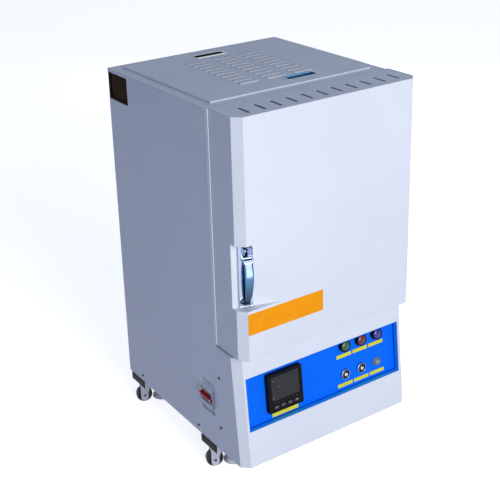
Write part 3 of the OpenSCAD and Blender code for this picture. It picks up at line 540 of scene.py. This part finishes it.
finishes = {
    pale_coat: ["side_panel_left", "side_panel_right", "back_panel", "base_pan", "top_rim",
                "console_front", "base_channels", "door_shell"],
    lid_coat: ["lid"],
    blue_coat: ["control_tray"],
    brown_coat: ["vent_grille"],
    zinc: ["front_frame", "divider_shelf", "exhaust_pipe", "caster_plates", "breaker_rail",
           "hinge_leaf_body", "hinge_leaf_door", "door_back", "latch_bolt"],
    stainless: ["button_collars", "button_left", "button_middle"],
    handle_chrome: ["handle", "thumb_lever"],
    pull_steel: ["lid_pulls"],
    black_abs: ["controller"],
    grey_key: ["key_1", "key_2", "key_3", "key_4"],
    grey_cap: ["buzzer"],
    breaker_shell: ["breaker_body"],
    red_abs: ["breaker_toggle", *at_corners("dial")],
    green_lens: ["lamp_left"],
    red_lens: ["lamp_middle"],
    blue_lens: ["lamp_right"],
    fibre_board: ["insulation", "door_plug", "door_seal"],
    fired_muffle: ["muffle", "thermocouple"],
    carbide: ["hearth_plate"],
    oxide: ["heating_elements"],
    cast_grey: at_corners("fork"),
    nylon: at_corners("wheel"),
    foot_dome: at_corners("foot"),
}
for material, names in finishes.items():
    for name in names:
        nodes[name].data.materials.clear()
        nodes[name].data.materials.append(material)
left_over = sorted(set(nodes) - {n for names in finishes.values() for n in names})
print("nodes without a finish:", left_over)

# %% [markdown]
# ## Small pieces
# A small piece is a recipe that fills a mesh, in millimetres, and a matrix that lays it in place.
# Nearly every shape is a row of rings, so one function skins rings and the others place points.

# %% Helpers for meshes
def mesh_piece(name, build, material, body, matrix=Matrix.Identity(4), smooth=False):
    """Runs a bmesh recipe, lays the mesh in place and lets it ride on a body."""
    mesh = bpy.data.meshes.new(name)
    shape = bmesh.new()
    build(shape)
    bmesh.ops.recalc_face_normals(shape, faces=shape.faces)
    shape.transform(matrix)
    shape.to_mesh(mesh)
    shape.free()
    for face in mesh.polygons:
        face.use_smooth = smooth
    mesh.materials.append(material)
    piece = bpy.data.objects.new(name, mesh)
    bpy.context.scene.collection.objects.link(piece)
    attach(piece, body)
    return piece


def loft(shape, sections, looped=False, unit=MM):
    """Skins rings of points; the ends are closed, or the last ring joins the first."""
    rings = [[shape.verts.new(Vector(p) * unit) for p in section] for section in sections]
    count = len(rings[0])
    for a, b in zip(rings, rings[1:] + (rings[:1] if looped else [])):
        for k in range(count):
            shape.faces.new((a[k], a[(k + 1) % count], b[(k + 1) % count], b[k]))
    if not looped:
        shape.faces.new(rings[0])
        shape.faces.new(rings[-1])


def circle(steps):
    """The cosine and the sine of equal steps around a circle."""
    angles = [2 * math.pi * k / steps for k in range(steps)]
    return [(math.cos(a), math.sin(a)) for a in angles]


def slab(width, height, corner, thick, steps=5, edge=0.15):
    """A plate in the XZ plane with round corners and a small chamfer, its back at y = 0."""
    def outline(inset, y):
        points = []
        for side, end, start in ((1, 1, 0), (-1, 1, 90), (-1, -1, 180), (1, -1, 270)):
            for k in range(steps + 1):
                a = math.radians(start + 90 * k / steps)
                points.append((side * (width / 2 - corner) + (corner - inset) * math.cos(a), y,
                               end * (height / 2 - corner) + (corner - inset) * math.sin(a)))
        return points
    sections = [outline(0, 0), outline(0, edge - thick), outline(edge, -thick)]
    return lambda shape: loft(shape, sections)


print("mesh helpers ready")

# %% [markdown]
# The console front is a sloped plane. Its pieces are built flat, in a frame whose X runs across,
# whose Z runs up the slope and whose -Y stands out of it, and a single matrix then lays them on
# the console. Reading the console's own box keeps them seated if a size changes.

# %% The console frame
SLOPE = math.atan(26 / 272)
RECESS = 15 * MM
console_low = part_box("console_front")[0]
CONSOLE = (Matrix.Translation((0.0, console_low.y, console_low.z))
           @ Matrix.Rotation(-SLOPE, 4, "X"))


def on_console(x, z, depth=RECESS):
    """The matrix of a spot, x across and z above the underside, in millimetres, at a depth."""
    return CONSOLE @ Matrix.Translation((x * MM, depth, z * MM / math.cos(SLOPE)))


print("console slope", round(math.degrees(SLOPE), 2), "degrees")

# %% [markdown]
# The walls of the blue tray are painted lighter than its floor, as painted light, and a dark band
# where they meet it is painted shade in the inside corner. The object-space normal tells walls from
# floor, and the distance from the floor is a dot product.

# %% The coat of the tray
WALL_FACING = 0.6
console_out = CONSOLE.to_3x3() @ Vector((0.0, -1.0, 0.0))
tray_floor = console_out.dot(on_console(0, 150).translation)


def tray_painted_light_and_shade(tree, plain):
    """The plain coat on the floor; on the walls a painted lighter tone with a painted dark foot of
    shade.
    """
    coordinates = add(tree, "ShaderNodeTexCoord").outputs
    facing = add(tree, "ShaderNodeSeparateXYZ", None, {"Vector": coordinates["Normal"]}).outputs
    leftward = maths(tree, "MULTIPLY", facing["X"], -1.0)
    wall = maths(tree, "MAXIMUM", leftward, facing["Z"])
    is_wall = maths(tree, "GREATER_THAN", wall, WALL_FACING)
    away = distance_along(tree, coordinates["Object"], console_out)
    above = zone(tree, away, tray_floor + 3.6 * MM, tray_floor + 5.4 * MM)
    # The dark blue is painted shade at the foot of the walls, and the light blue is painted light
    # on them.
    return blend_colours(tree, is_wall, plain, blend_colours(tree, above, "#0b49c8", "#22aef0"))


repaint(blue_coat, tray_painted_light_and_shade)
print("tray floor at", round(tray_floor, 4))

# %% [markdown]
# Under each lamp and button sits a small yellow plate, and a longer one under the controller.
# They are left blank here. Each is 0.6 mm thick and lies on the blue sheet.

# %% Yellow plates
FIRST_X, PITCH_X = 66, 49
columns = [FIRST_X + PITCH_X * i for i in range(3)]
plates = [(x, z, 45) for z in (176, 101) for x in columns] + [(-112, 97, 74)]
for number, (x, z, width) in enumerate(plates, 1):
    mesh_piece(f"label_plate_{number}", slab(width, 9, 1.2, 0.6), yellow_plate, "carcass",
               on_console(x, z, RECESS - 0.05 * MM))
print("yellow plates", len(plates))

# %% [markdown]
# A wide strip of orange film is stuck on the door below the handle pocket. It carries nothing
# here: the film is plain, with round corners and a thin edge that catches the light.

# %% Orange strip
STRIP_X, STRIP_Z = -124 * MM, 444.5 * MM
door_low, door_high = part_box("door_shell")
mesh_piece("orange_strip", slab(202, 51, 1.5, 0.3), orange_vinyl, "door",
           Matrix.Translation((STRIP_X, door_low.y, STRIP_Z)))
print("door front at y", round(door_low.y, 4))

# %% [markdown]
# ## Turned pieces
# Lamp sleeves, button rings and caps are all turned shapes: an outline spun around an axis. A ring
# has a closed outline, and a cap has an open one that starts close to its centre. Outlines are
# given as (radius, height) in millimetres, and the height stands out of the console.

# %% Helpers for turned pieces
def spun_ring(outline, steps=64, knurl=0.0):
    """Spins a closed outline about the local -Y axis; a knurl sets every second step inwards."""
    widest = max(r for r, h in outline)
    sections = []
    for k, (c, s) in enumerate(circle(steps)):
        inset = knurl if k % 2 else 0.0
        radii = [(r - inset if r > widest - 0.2 else r, h) for r, h in outline]
        sections.append([(r * c, -h, r * s) for r, h in radii])
    return lambda shape: loft(shape, sections, looped=True)


def spun_cap(outline, steps=48):
    """Spins an open outline from its centre to its rim and closes both ends."""
    sections = [[(r * c, -h, r * s) for c, s in circle(steps)] for r, h in outline]
    return lambda shape: loft(shape, sections)


print("turned shapes ready")

# %% [markdown]
# A pilot lamp stands out of the recess: a black knurled sleeve with a domed lens of clear coloured
# acrylic in its mouth. The lens and its sleeve stand for the plain lamp solid.

# %% Lamp sleeves and lenses
LAMP_Z = 202.4
sleeve = spun_ring(
    [(12.2, 0.05), (14.8, 0.05), (14.8, 9.6), (14.2, 10.6), (13.0, 11.0), (12.2, 10.7)], 72, 0.35)
lens_dome = spun_cap(
    [(0.4, 13.6), (3.2, 13.4), (6.2, 12.8), (9.0, 11.8), (11.0, 10.7), (12.1, 9.6), (12.1, 0.3)],
    64)
lenses = [("lamp_left", green_lens), ("lamp_middle", red_lens), ("lamp_right", blue_lens)]
for i, (node, lens) in enumerate(lenses):
    spot = on_console(columns[i], LAMP_Z)
    mesh_piece(f"lamp_nut_{i + 1}", sleeve, black_abs, "carcass", spot)
    dome = mesh_piece(f"lamp_lens_{i + 1}", lens_dome, lens, "carcass", spot, True)
    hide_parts(node)
print("lamps", len(lenses))

# %% [markdown]
# A metal push button has a polished ring, then a black one, and a dark cap with a bright eye. The
# caps and the eyes ride on the buttons, because they sink with them. The buzzer is a small grey
# dome with a low flange.

# %% Button rings, caps and the buzzer
BUTTON_Z, CAP_OUT, EYE_OUT = 128, 5.8 * MM, 5.85 * MM
polished_ring = spun_ring([
    (12.55, 0.05), (12.9, 0.05), (12.9, 2.7), (12.4, 4.5), (11.6, 5.3), (10.8, 4.9),
    (10.7, 4.03), (12.55, 4.03)])
inner_ring = spun_ring([(9.45, 4.03), (9.55, 4.5), (10.6, 4.6), (10.68, 4.03)])
dark_cap = spun_cap([(6.8, 0.55), (7.6, 0.8), (8.6, 0.7), (9.1, 0.35), (9.1, 0.0)])
bright_eye = spun_cap([(0.3, 1.0), (3.8, 0.95), (4.8, 0.6), (4.9, 0.5)])
for i, body in enumerate(("button_left", "button_middle")):
    for name, recipe, material, rides, out, smooth in (
            ("ring", polished_ring, chrome, "carcass", 0.0, True),
            ("inner_ring", inner_ring, black_abs, "carcass", 0.0, True),
            ("cap", dark_cap, black_abs, body, CAP_OUT, False),
            ("eye", bright_eye, stainless, body, EYE_OUT, True)):
        mesh_piece(f"button_{name}_{i + 1}", recipe, material, rides,
                   on_console(columns[i], BUTTON_Z, RECESS - out), smooth)
buzzer_dome = spun_cap([
    (0.3, 9.4), (3.6, 9.1), (6.4, 8.1), (8.2, 6.4), (8.9, 4.2), (9.0, 2.6), (10.4, 2.2),
    (10.9, 1.3), (11.0, 0.05)])
buzzer = mesh_piece(
    "buzzer_dome", buzzer_dome, grey_cap, "carcass", on_console(columns[2], BUTTON_Z), True)
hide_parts("buzzer")
print("buttons 2, buzzer 1")

# %% [markdown]
# The controller has a dark window over its display. A row of small unlit indicators sits below
# it, and each key has a plain printed arrow.

# %% Controller window, indicators and arrows
CTRL_X, CTRL_Z, KEY_PITCH = -115, 157, 19
WINDOW_DEPTH, FACE_DEPTH, GLASS_DEPTH, KEY_DEPTH = 4.2 * MM, 3.02 * MM, 3.32 * MM, 1.82 * MM
WINDOW_UP, KEYS_DOWN = 10, 35


def raised(shape, points, shrink=0.94, centre=(0.0, 0.0), thick=0.15):
    """A thin flat shape, given by its (x, z) corners, that narrows a little towards its top."""
    cx, cz = centre
    loft(shape, [[(cx + x * size, y, cz + z * size) for x, z in points]
                 for size, y in ((1.0, 0.0), (shrink, -thick))])


def tiles(spots, width, height):
    """Raised rectangles at (x, z)."""
    corners = [(width / 2 * a, height / 2 * b) for a, b in ((-1, -1), (1, -1), (1, 1), (-1, 1))]
    return lambda shape: [raised(shape, corners, 1 / 1.1, spot) for spot in spots]


mesh_piece("controller_window", slab(77.4, 59.4, 1.8, 0.9), smoked, "carcass",
           on_console(CTRL_X, CTRL_Z, WINDOW_DEPTH) @ Matrix.Translation((0, 0, WINDOW_UP * MM)))
mesh_piece("controller_indicators", tiles([(-30 + 10 * k, -25.5) for k in range(7)], 3.2, 1.3),
           unlit, "carcass", on_console(CTRL_X, CTRL_Z, FACE_DEPTH))
mesh_piece("controller_lamps", tiles([(-34, 31), (-16, 12), (-34, -12)], 2.2, 1.6),
           print_ink, "carcass", on_console(CTRL_X, CTRL_Z, GLASS_DEPTH))
key_marks = [
    [(2.2, -1.6), (2.2, 1.6), (-2.2, 0)],
    [(-2.2, 1.5), (2.2, 1.5), (0, -1.7)],
    [(-2.2, -1.5), (2.2, -1.5), (0, 1.7)],
    [(2 * c, 2 * s) for c, s in circle(16)],
]
for i, points in enumerate(key_marks):
    aside = Matrix.Translation(((i - 1.5) * KEY_PITCH * MM, 0, -KEYS_DOWN * MM))
    mesh_piece(f"key_mark_{i + 1}", lambda shape: raised(shape, points), print_ink,
               f"key_{i + 1}", on_console(CTRL_X, CTRL_Z, KEY_DEPTH) @ aside)
print("controller window, 10 indicators, 4 key marks")

# %% [markdown]
# The circuit breaker's nose carries a narrow tinted window above the toggle. Grey sheets on the
# ends of the nose are painted shade that darkens them, and a small black slab at each end of the
# toggles is a painted shadow in the gap there. These pieces are drawn flat and turned to look
# along -X.

# %% Breaker window and painted shade at its ends
breaker_low, breaker_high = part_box("breaker_body")
breaker_y, breaker_z = ((breaker_low[k] + breaker_high[k]) / 2 for k in (1, 2))
SIDE = Matrix.Rotation(math.radians(-90), 4, "Z")


def on_breaker(y, z, out=-0.05):
    """The matrix of a spot on the nose, out millimetres in front of it."""
    return Matrix.Translation((breaker_low.x - out * MM, y, z)) @ SIDE


mesh_piece("breaker_window", slab(44, 6, 1.0, 0.5), window_tint, "carcass",
           on_breaker(breaker_y, breaker_z + 18 * MM))
# The grey sheets are painted shade on the nose's two end faces.
for number, (y, half_turns) in enumerate(((breaker_low.y, 0), (breaker_high.y, 1)), 1):
    cheek = Matrix.Translation((breaker_low.x + 4.1 * MM, y, breaker_z))
    cheek = cheek @ Matrix.Rotation(half_turns * math.pi, 4, "Z")
    mesh_piece(f"breaker_barrier_{number}", slab(8, 45.6, 0.6, 0.4), shade_grey, "carcass", cheek)
# The black slabs are painted shadow in the gaps at the ends of the toggles.
for number, y in enumerate((breaker_low.y + 1.2 * MM, breaker_high.y - 1.2 * MM), 1):
    mesh_piece(f"breaker_end_{number}", slab(2.3, 10, 0.6, 0.4), black_abs, "carcass",
               on_breaker(y, breaker_z))
print("breaker front at x", round(breaker_low.x, 4))

# %% [markdown]
# The three toggles are linked by one red bar, rounded where the fingers push it, with a pale cap
# at each end. The bar and its hub stand for the plain toggle solid and tip with it.

# %% The toggle bar
toggle_low, toggle_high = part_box("breaker_toggle")
toggle_half = (toggle_high.y - toggle_low.y) / 2 / MM
HUB_BACK, HUB_RADIUS = 7, 5.4
bar_half = [(3.6, 2.2), (3.1, 3.2), (2.2, 3.6), (-6.8, 3.0)]
bar_plan = [(out, -z) for out, z in reversed(bar_half)] + bar_half
hub_plan = [(HUB_RADIUS * c - HUB_BACK, HUB_RADIUS * s) for c, s in circle(28)]


def along_poles(plan):
    """Pulls an outline, given as (out, z) from the nose, along the row of poles."""
    sections = [[(x, -out, z) for out, z in plan] for x in (-toggle_half, toggle_half)]
    return lambda shape: loft(shape, sections)


toggle_place = on_breaker(breaker_y, breaker_z, 0)
bar = mesh_piece("breaker_toggle_bar", along_poles(bar_plan), red_abs, "breaker_toggle",
                 toggle_place)
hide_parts("breaker_toggle")
for number, y in enumerate((toggle_low.y + 2.4 * MM, toggle_high.y - 2.4 * MM), 1):
    mesh_piece(f"toggle_end_{number}", slab(4.4, 6.0, 0.8, 0.5), lip_coat, "breaker_toggle",
               on_breaker(y, breaker_z, bar_half[0][0] - 0.05))
mesh_piece("breaker_toggle_hub", along_poles(hub_plan), red_abs, "breaker_toggle", toggle_place)
print("toggle bar length", round(toggle_half * 2, 1), "mm")

# %% [markdown]
# The left side panel ends in a narrow folded lip that covers the gap beside the closed door. It
# faces the light, and its coat is a whiter copy of the panel's paint, a painted highlight that
# makes it read as a bright line. Its plan has a rolled edge, and it stops a little short of the
# door at both ends.

# %% The folded lip beside the door
panel_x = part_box("side_panel_left")[0].x
LIP_FOOT, LIP_TOP = door_low.z + 1 * MM, door_high.z - 1 * MM
body_front = door_high.y + 6 * MM
outer, inner, front = panel_x - 0.4 * MM, panel_x + 1.7 * MM, door_high.y - 1.2 * MM
lip_plan = [
    (outer + 0.3 * MM, body_front + 4 * MM), (outer, body_front + 3.5 * MM),
    (outer, front + 0.5 * MM), (outer + 0.5 * MM, front), (inner - 0.2 * MM, front),
    (inner, front + 0.2 * MM), (inner, body_front + 4 * MM)]
lip_sections = [[(x, y, z) for x, y in lip_plan] for z in (LIP_FOOT, LIP_TOP)]
mesh_piece("panel_lip_left", lambda shape: loft(shape, lip_sections, unit=1.0), lip_coat, "carcass")
print("lip from z", round(LIP_FOOT, 3), "to", round(LIP_TOP, 3))

# %% [markdown]
# The two rails under the cabinet are square tubes, closed at each end by a black plug with a thin
# chamfered flange and a smaller raised field. The rails' own box gives the four places.

# %% Rail plugs
RAIL_WIDE = 68
rail_low, rail_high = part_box("base_channels")
rail_tall = (rail_high.z - rail_low.z) / MM
rail_z = (rail_low.z + rail_high.z) / 2
rail_ys = (rail_low.y + RAIL_WIDE / 2 * MM, rail_high.y - RAIL_WIDE / 2 * MM)
plug_places = [(side, y) for side in (-1, 1) for y in rail_ys]
for number, (side, y) in enumerate(plug_places, 1):
    spot = Matrix.Translation((side * rail_high.x, y, rail_z))
    spot = spot @ Matrix.Rotation(side * math.pi / 2, 4, "Z")
    mesh_piece(f"rail_plug_{number}", slab(RAIL_WIDE - 0.6, rail_tall - 0.6, 1.5, 1.6, 4, 0.5),
               black_abs, "carcass", spot)
    mesh_piece(f"rail_plug_field_{number}", slab(RAIL_WIDE - 8, rail_tall - 8, 1.5, 0.5, 4, 0.3),
               black_abs, "carcass", spot @ Matrix.Translation((0, -1.55 * MM, 0)))
print("rail plugs at y", [round(y, 3) for y in rail_ys])

# %% [markdown]
# Each flush pull has a tongue over part of its cup, on the side that faces the middle of the lid,
# and the fingers hook under it. The rear one is bright, and film covers the front one.

# %% Tongues of the pulls
TONGUE_LONG, TONGUE_DOWN = 80.2, 2.4
lid_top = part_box("lid_pulls")[1].z
tongues = [(-3.0, 188.5, 12.5, mirror_chrome), (50.0, -83.3, 7.0, blue_film)]
for number, (x, y, width, material) in enumerate(tongues, 1):
    place = Matrix.Translation((x * MM, y * MM, lid_top - TONGUE_DOWN * MM))
    mesh_piece(f"pull_tongue_{number}", slab(TONGUE_LONG, width, 1.2, 1.8, 4, 0.6), material,
               "lid", place @ Matrix.Rotation(-math.pi / 2, 4, "X"))
print("top of the pulls at z", round(lid_top, 4))

# %% [markdown]
# ## Screws
# Screws repeat, so Geometry Nodes place them. One pan head with a cross recess is made in mesh
# code, and a tree sets it on each point of a small point mesh, faces it along a direction, and
# gives each recess its own chance angle from a fixed seed, as no two screws stop at the same turn.

# %% One screw head
def pan_head():
    """A head of diameter 1 that stands on z = 0, with a cross recess."""
    steps = 16
    cross = []
    for k in range(steps):
        a = abs((2 * math.pi * k / steps + math.pi / 4) % (math.pi / 2) - math.pi / 4)
        cross.append(min(0.25 / math.cos(a), 0.06 / max(math.sin(a), 0.01)))
    rows = [([0.5] * steps, 0.0), ([0.5] * steps, 0.1), ([0.45] * steps, 0.22),
            ([0.33] * steps, 0.29), (cross, 0.31), (cross, 0.1)]
    sections = [[(r * c, r * s, z) for r, (c, s) in zip(row, circle(steps))] for row, z in rows]
    shape = bmesh.new()
    loft(shape, sections, unit=1.0)
    bmesh.ops.recalc_face_normals(shape, faces=shape.faces)
    mesh = bpy.data.meshes.new("pan_head")
    shape.to_mesh(mesh)
    shape.free()
    return bpy.data.objects.new("pan_head", mesh)


screw_pattern = pan_head()
print("pan head faces", len(screw_pattern.data.polygons))

# %% The screw tree
screws = bpy.data.node_groups.new("screw_set", "GeometryNodeTree")
for name, kind in (("Points", "Geometry"), ("Head", "Object"), ("Head diameter", "Float"),
                   ("Direction", "Vector"), ("Metal", "Material")):
    screws.interface.new_socket(name, in_out="INPUT", socket_type="NodeSocket" + kind)
screws.interface.new_socket("Geometry", in_out="OUTPUT", socket_type="NodeSocketGeometry")
enter = add(screws, "NodeGroupInput").outputs
head = add(screws, "GeometryNodeObjectInfo", None, {"Object": enter["Head"]})
facing = add(screws, "FunctionNodeAlignRotationToVector", {"axis": "Z"},
             {"Vector": enter["Direction"]})
chance = add(screws, "FunctionNodeRandomValue", {"data_type": "FLOAT"}, {3: math.pi / 2, "Seed": 7})
twist = add(screws, "FunctionNodeAxisAngleToRotation", None,
            {"Axis": (0.0, 0.0, 1.0), "Angle": chance.outputs[1]})
turned = add(screws, "FunctionNodeRotateRotation", {"rotation_space": "LOCAL"},
             {"Rotation": facing.outputs[0], "Rotate By": twist.outputs[0]})
placed = add(screws, "GeometryNodeInstanceOnPoints", None, {
    "Points": enter["Points"], "Instance": head.outputs["Geometry"],
    "Rotation": turned.outputs[0], "Scale": enter["Head diameter"]})
real = add(screws, "GeometryNodeRealizeInstances", None, {"Geometry": placed.outputs[0]})
coated = add(screws, "GeometryNodeSetMaterial", None,
             {"Geometry": real.outputs[0], "Material": enter["Metal"]})
add(screws, "NodeGroupOutput", None, {"Geometry": coated.outputs[0]})
print("screw tree nodes", len(screws.nodes))

# %% [markdown]
# The tree's inputs are set by their identifiers before it is evaluated. The result is then kept as
# a plain mesh, one for each set of screws, and the modifier goes.

# %% Screws on a body
def set_screws(name, points, direction, diameter, metal, body):
    """Places screws at points in metres, keeps the result as a plain mesh on a body."""
    cloud = bpy.data.meshes.new(name)
    cloud.from_pydata([tuple(p) for p in points], [], [])
    holder = bpy.data.objects.new(name, cloud)
    bpy.context.scene.collection.objects.link(holder)
    modifier = holder.modifiers.new("screw_set", "NODES")
    modifier.node_group = screws
    values = {"Head": screw_pattern, "Head diameter": diameter * MM, "Direction": direction,
              "Metal": metal}
    for item in screws.interface.items_tree:
        if item.name in values:
            modifier[item.identifier] = values[item.name]
    evaluated = holder.evaluated_get(bpy.context.evaluated_depsgraph_get())
    done = bpy.data.meshes.new_from_object(evaluated)
    holder.modifiers.clear()
    holder.data = done
    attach(holder, body)
    return len(done.polygons)


PANEL_SCREW, BREAKER_SCREW, HINGE_SCREW = 6.5, 5.6, 7.0
LEFT, RIGHT, BACK = (-1, 0, 0), (1, 0, 0), (0, 1, 0)
side_spots = [(-0.176, 0.276), (-0.176, 0.143), (-0.076, 0.097), (0.200, 0.097)]
back_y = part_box("back_panel")[1].y
back_spots = [(x, z) for x in (-0.234, 0.234) for z in (0.1, 0.28, 0.46, 0.64, 0.815)]
back_spots += [(x, z) for x in (-0.117, 0.0, 0.117) for z in (0.092, 0.894)]
well_x, pole_wide = breaker_low.x + 14 * MM, 18 * MM
breaker_spots = [(well_x, breaker_low.y + pole_wide * (i + 0.5), breaker_z + end * 34.5 * MM)
                 for i in range(3) for end in (-1, 1)]
leaf_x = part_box("hinge_leaf_door")[0].x + 3 * MM
body_leaf, door_leaf = ([(leaf_x, y, z + k) for z in (0.428, 0.759) for k in (0.014, 0.066)]
                        for y in (-0.1465, -0.1895))
screw_sets = [
    ("side_left", [(panel_x, *p) for p in side_spots], LEFT, PANEL_SCREW, black_zinc, "carcass"),
    ("side_right", [(-panel_x, *p) for p in side_spots], RIGHT, PANEL_SCREW, black_zinc, "carcass"),
    ("back", [(x, back_y, z) for x, z in back_spots], BACK, PANEL_SCREW, black_zinc, "carcass"),
    ("breaker", breaker_spots, LEFT, BREAKER_SCREW, zinc, "carcass"),
    ("hinge_body", body_leaf, RIGHT, HINGE_SCREW, stainless, "carcass"),
    ("hinge_door", door_leaf, RIGHT, HINGE_SCREW, stainless, "door"),
]
screw_faces = sum(set_screws("screws_" + name, *row) for name, *row in screw_sets)
print("screw sets", len(screw_sets), "faces", screw_faces)

# %% [markdown]
# ## The door handle
# The handle is a chromed die casting: a back plate, a bowed grip that narrows downwards, a short
# bar under the thumb lever, and one fixing boss. The grip is swept section by section: each is a
# flattened oval, its width follows a list, and its distance from the plate follows a bow.
# Everything is drawn in the frame of the pocket's slanted floor, with -Y out of it.

# %% The frame of the pocket
POCKET_DEEP, POCKET_WIDE, DOOR_LEFT = 34.5, 107, -0.245
POCKET_TURN = -math.atan(POCKET_DEEP / POCKET_WIDE)
handle_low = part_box("handle")[0]
POCKET = (Matrix.Translation((DOOR_LEFT, door_low.y + POCKET_DEEP * MM, handle_low.z))
          @ Matrix.Rotation(POCKET_TURN, 4, "Z"))
PLATE_X, PLATE_WIDE, PLATE_TALL, PLATE_THICK = 17.0, 31.0, 146.0, 4.0
GRIP_X, GRIP_WIDE = 37.4, 20.0
GRIP_LEFT, GRIP_RIGHT = GRIP_X - GRIP_WIDE / 2, GRIP_X + GRIP_WIDE / 2
BOSS_X, BOSS_Z = PLATE_X + 6.4, 13.5
LEVER_Z = PLATE_TALL - 14


def in_pocket(x, z, out=0.0):
    """The matrix of a spot x across and z up the plate, out millimetres from the pocket's floor."""
    return POCKET @ Matrix.Translation((x * MM, -out * MM, z * MM))


print("pocket turned by", round(math.degrees(POCKET_TURN), 2), "degrees")

# %% The grip and its blocks
def bowed_grip(shape):
    """A band that stands out most at half its height, and narrows to its foot."""
    widths = [11.4, 13.6, 15.8, 17.6, 18.9, 19.7, 20.0, 20.0, 20.0]
    foot_z, tall, steps = 9, 99, 40
    foot_out, bow, half_thick = PLATE_THICK + 5.2, 10.6, 2.9
    sections = []
    for k in range(steps + 1):
        t = k / steps
        at = t * (len(widths) - 1)
        i = min(int(at), len(widths) - 2)
        half = (widths[i] + (widths[i + 1] - widths[i]) * (at - i)) / 2
        out = foot_out + bow * (1 - (2 * t - 1) ** 2)
        sections.append([(
            GRIP_LEFT + half + half * math.copysign(abs(c) ** 0.55, c),
            -out - half_thick * math.copysign(abs(s) ** 0.8, s),
            foot_z + tall * t) for c, s in circle(28)])
    loft(shape, sections)


def block(shape, low, high, edge):
    """A block between two corners, (x, out, z) in millimetres, with every edge chamfered."""
    made = bmesh.ops.create_cube(shape, size=1.0)["verts"]
    for v in made:
        v.co = [((l + h) / 2 + c * (h - l)) * MM for l, h, c in zip(low, high, v.co)]
        v.co.y = -v.co.y
    edges = list({e for v in made for e in v.link_edges})
    bmesh.ops.bevel(shape, geom=edges, offset=edge * MM, segments=3, profile=0.5, affect="EDGES")


def handle_form(shape):
    """Plate, grip, foot and head of the grip, and two cheeks for the lever's pin."""
    block(shape, (PLATE_X, 0.02, 0), (PLATE_X + PLATE_WIDE, PLATE_THICK, PLATE_TALL), 0.9)
    bowed_grip(shape)
    root = PLATE_THICK - 0.6
    block(shape, (GRIP_LEFT, root, 5.5), (GRIP_LEFT + 12.4, PLATE_THICK + 7.4, 15.5), 1.4)
    block(shape, (GRIP_LEFT - 0.8, root, 105.6), (GRIP_RIGHT + 0.8, PLATE_THICK + 11.4, 112.6), 1.3)
    for x in (GRIP_LEFT - 0.2, GRIP_RIGHT - 2.2):
        block(shape, (x, root, LEVER_Z - 7), (x + 2.4, PLATE_THICK + 9, LEVER_Z + 6), 0.7)


boss = spun_cap([(0.6, 7.4), (3.6, 7.2), (4.9, 6.3), (5.2, 5.0), (5.6, 0.6), (6.0, 0.0)], 40)
handle_piece = mesh_piece("handle_casting", handle_form, handle_chrome, "door", in_pocket(0, 0))
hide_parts("handle")
mesh_piece("handle_boss", boss, handle_chrome, "door",
           in_pocket(BOSS_X, BOSS_Z, PLATE_THICK - 0.3), True)
# A black plate on the back plate behind the thumb lever is painted shade, where the lever shades
# the plate.
mesh_piece("handle_well", slab(GRIP_WIDE, 27, 1.5, 0.5), black_abs, "door",
           in_pocket(GRIP_X, 127.5, PLATE_THICK - 0.05))
print("handle faces", len(handle_piece.data.polygons))

# %% [markdown]
# The thumb lever is a piece of its own, because it tips on its pin when the latch draws back.

# %% The thumb lever
def lever_form(shape):
    """A hub on the lever's own pin, an arm, and a pad for the thumb."""
    axis_out = PLATE_THICK + 5
    hub = ((-7.4, 3.6), (-7.0, 4.0), (7.0, 4.0), (7.4, 3.6))
    loft(shape, [[(GRIP_X + x, r * c - axis_out, LEVER_Z + r * s) for c, s in circle(32)]
                 for x, r in hub])
    block(shape, (GRIP_X - 2.6, PLATE_THICK + 4, LEVER_Z - 3),
          (GRIP_X + 6.2, PLATE_THICK + 13, LEVER_Z + 3), 0.5)
    block(shape, (GRIP_X - 3.4, PLATE_THICK + 9.4, LEVER_Z - 8.2),
          (GRIP_X + 7.0, PLATE_THICK + 15.2, LEVER_Z + 8.2), 1.5)


lever_piece = mesh_piece(
    "thumb_lever_casting", lever_form, handle_chrome, "thumb_lever", in_pocket(0, 0))
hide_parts("thumb_lever")
print("lever faces", len(lever_piece.data.polygons))

# %% [markdown]
# Each caster axle ends in a small black bolt head on both cheeks of its fork, and one dark screw
# sits in the boss of the handle. The forks stand turned by 20 degrees, so the heads face that way.

# %% Axle bolts and the handle screw
CASTER_TURN = math.radians(-20)
AXLE_BOLT, BOSS_SCREW, FORK_HALF = 6.0, 5.6, 14.75 * MM
across = Vector((-math.sin(CASTER_TURN), math.cos(CASTER_TURN), 0))
bolt_faces = 0
for corner in CORNERS:
    wheel_low, wheel_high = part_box("wheel_" + corner)
    hub = (Vector(wheel_low) + Vector(wheel_high)) / 2
    for label, outward in (("near", -across), ("far", across)):
        bolt_faces += set_screws(f"axle_bolt_{corner}_{label}", [hub + outward * FORK_HALF],
                                 tuple(outward), AXLE_BOLT, black_zinc, "fork_" + corner)
boss_top = in_pocket(BOSS_X, BOSS_Z, PLATE_THICK + 6.9).translation
bolt_faces += set_screws("screw_handle", [boss_top], POCKET_FACING, BOSS_SCREW, black_zinc, "door")
print("bolt faces", bolt_faces)
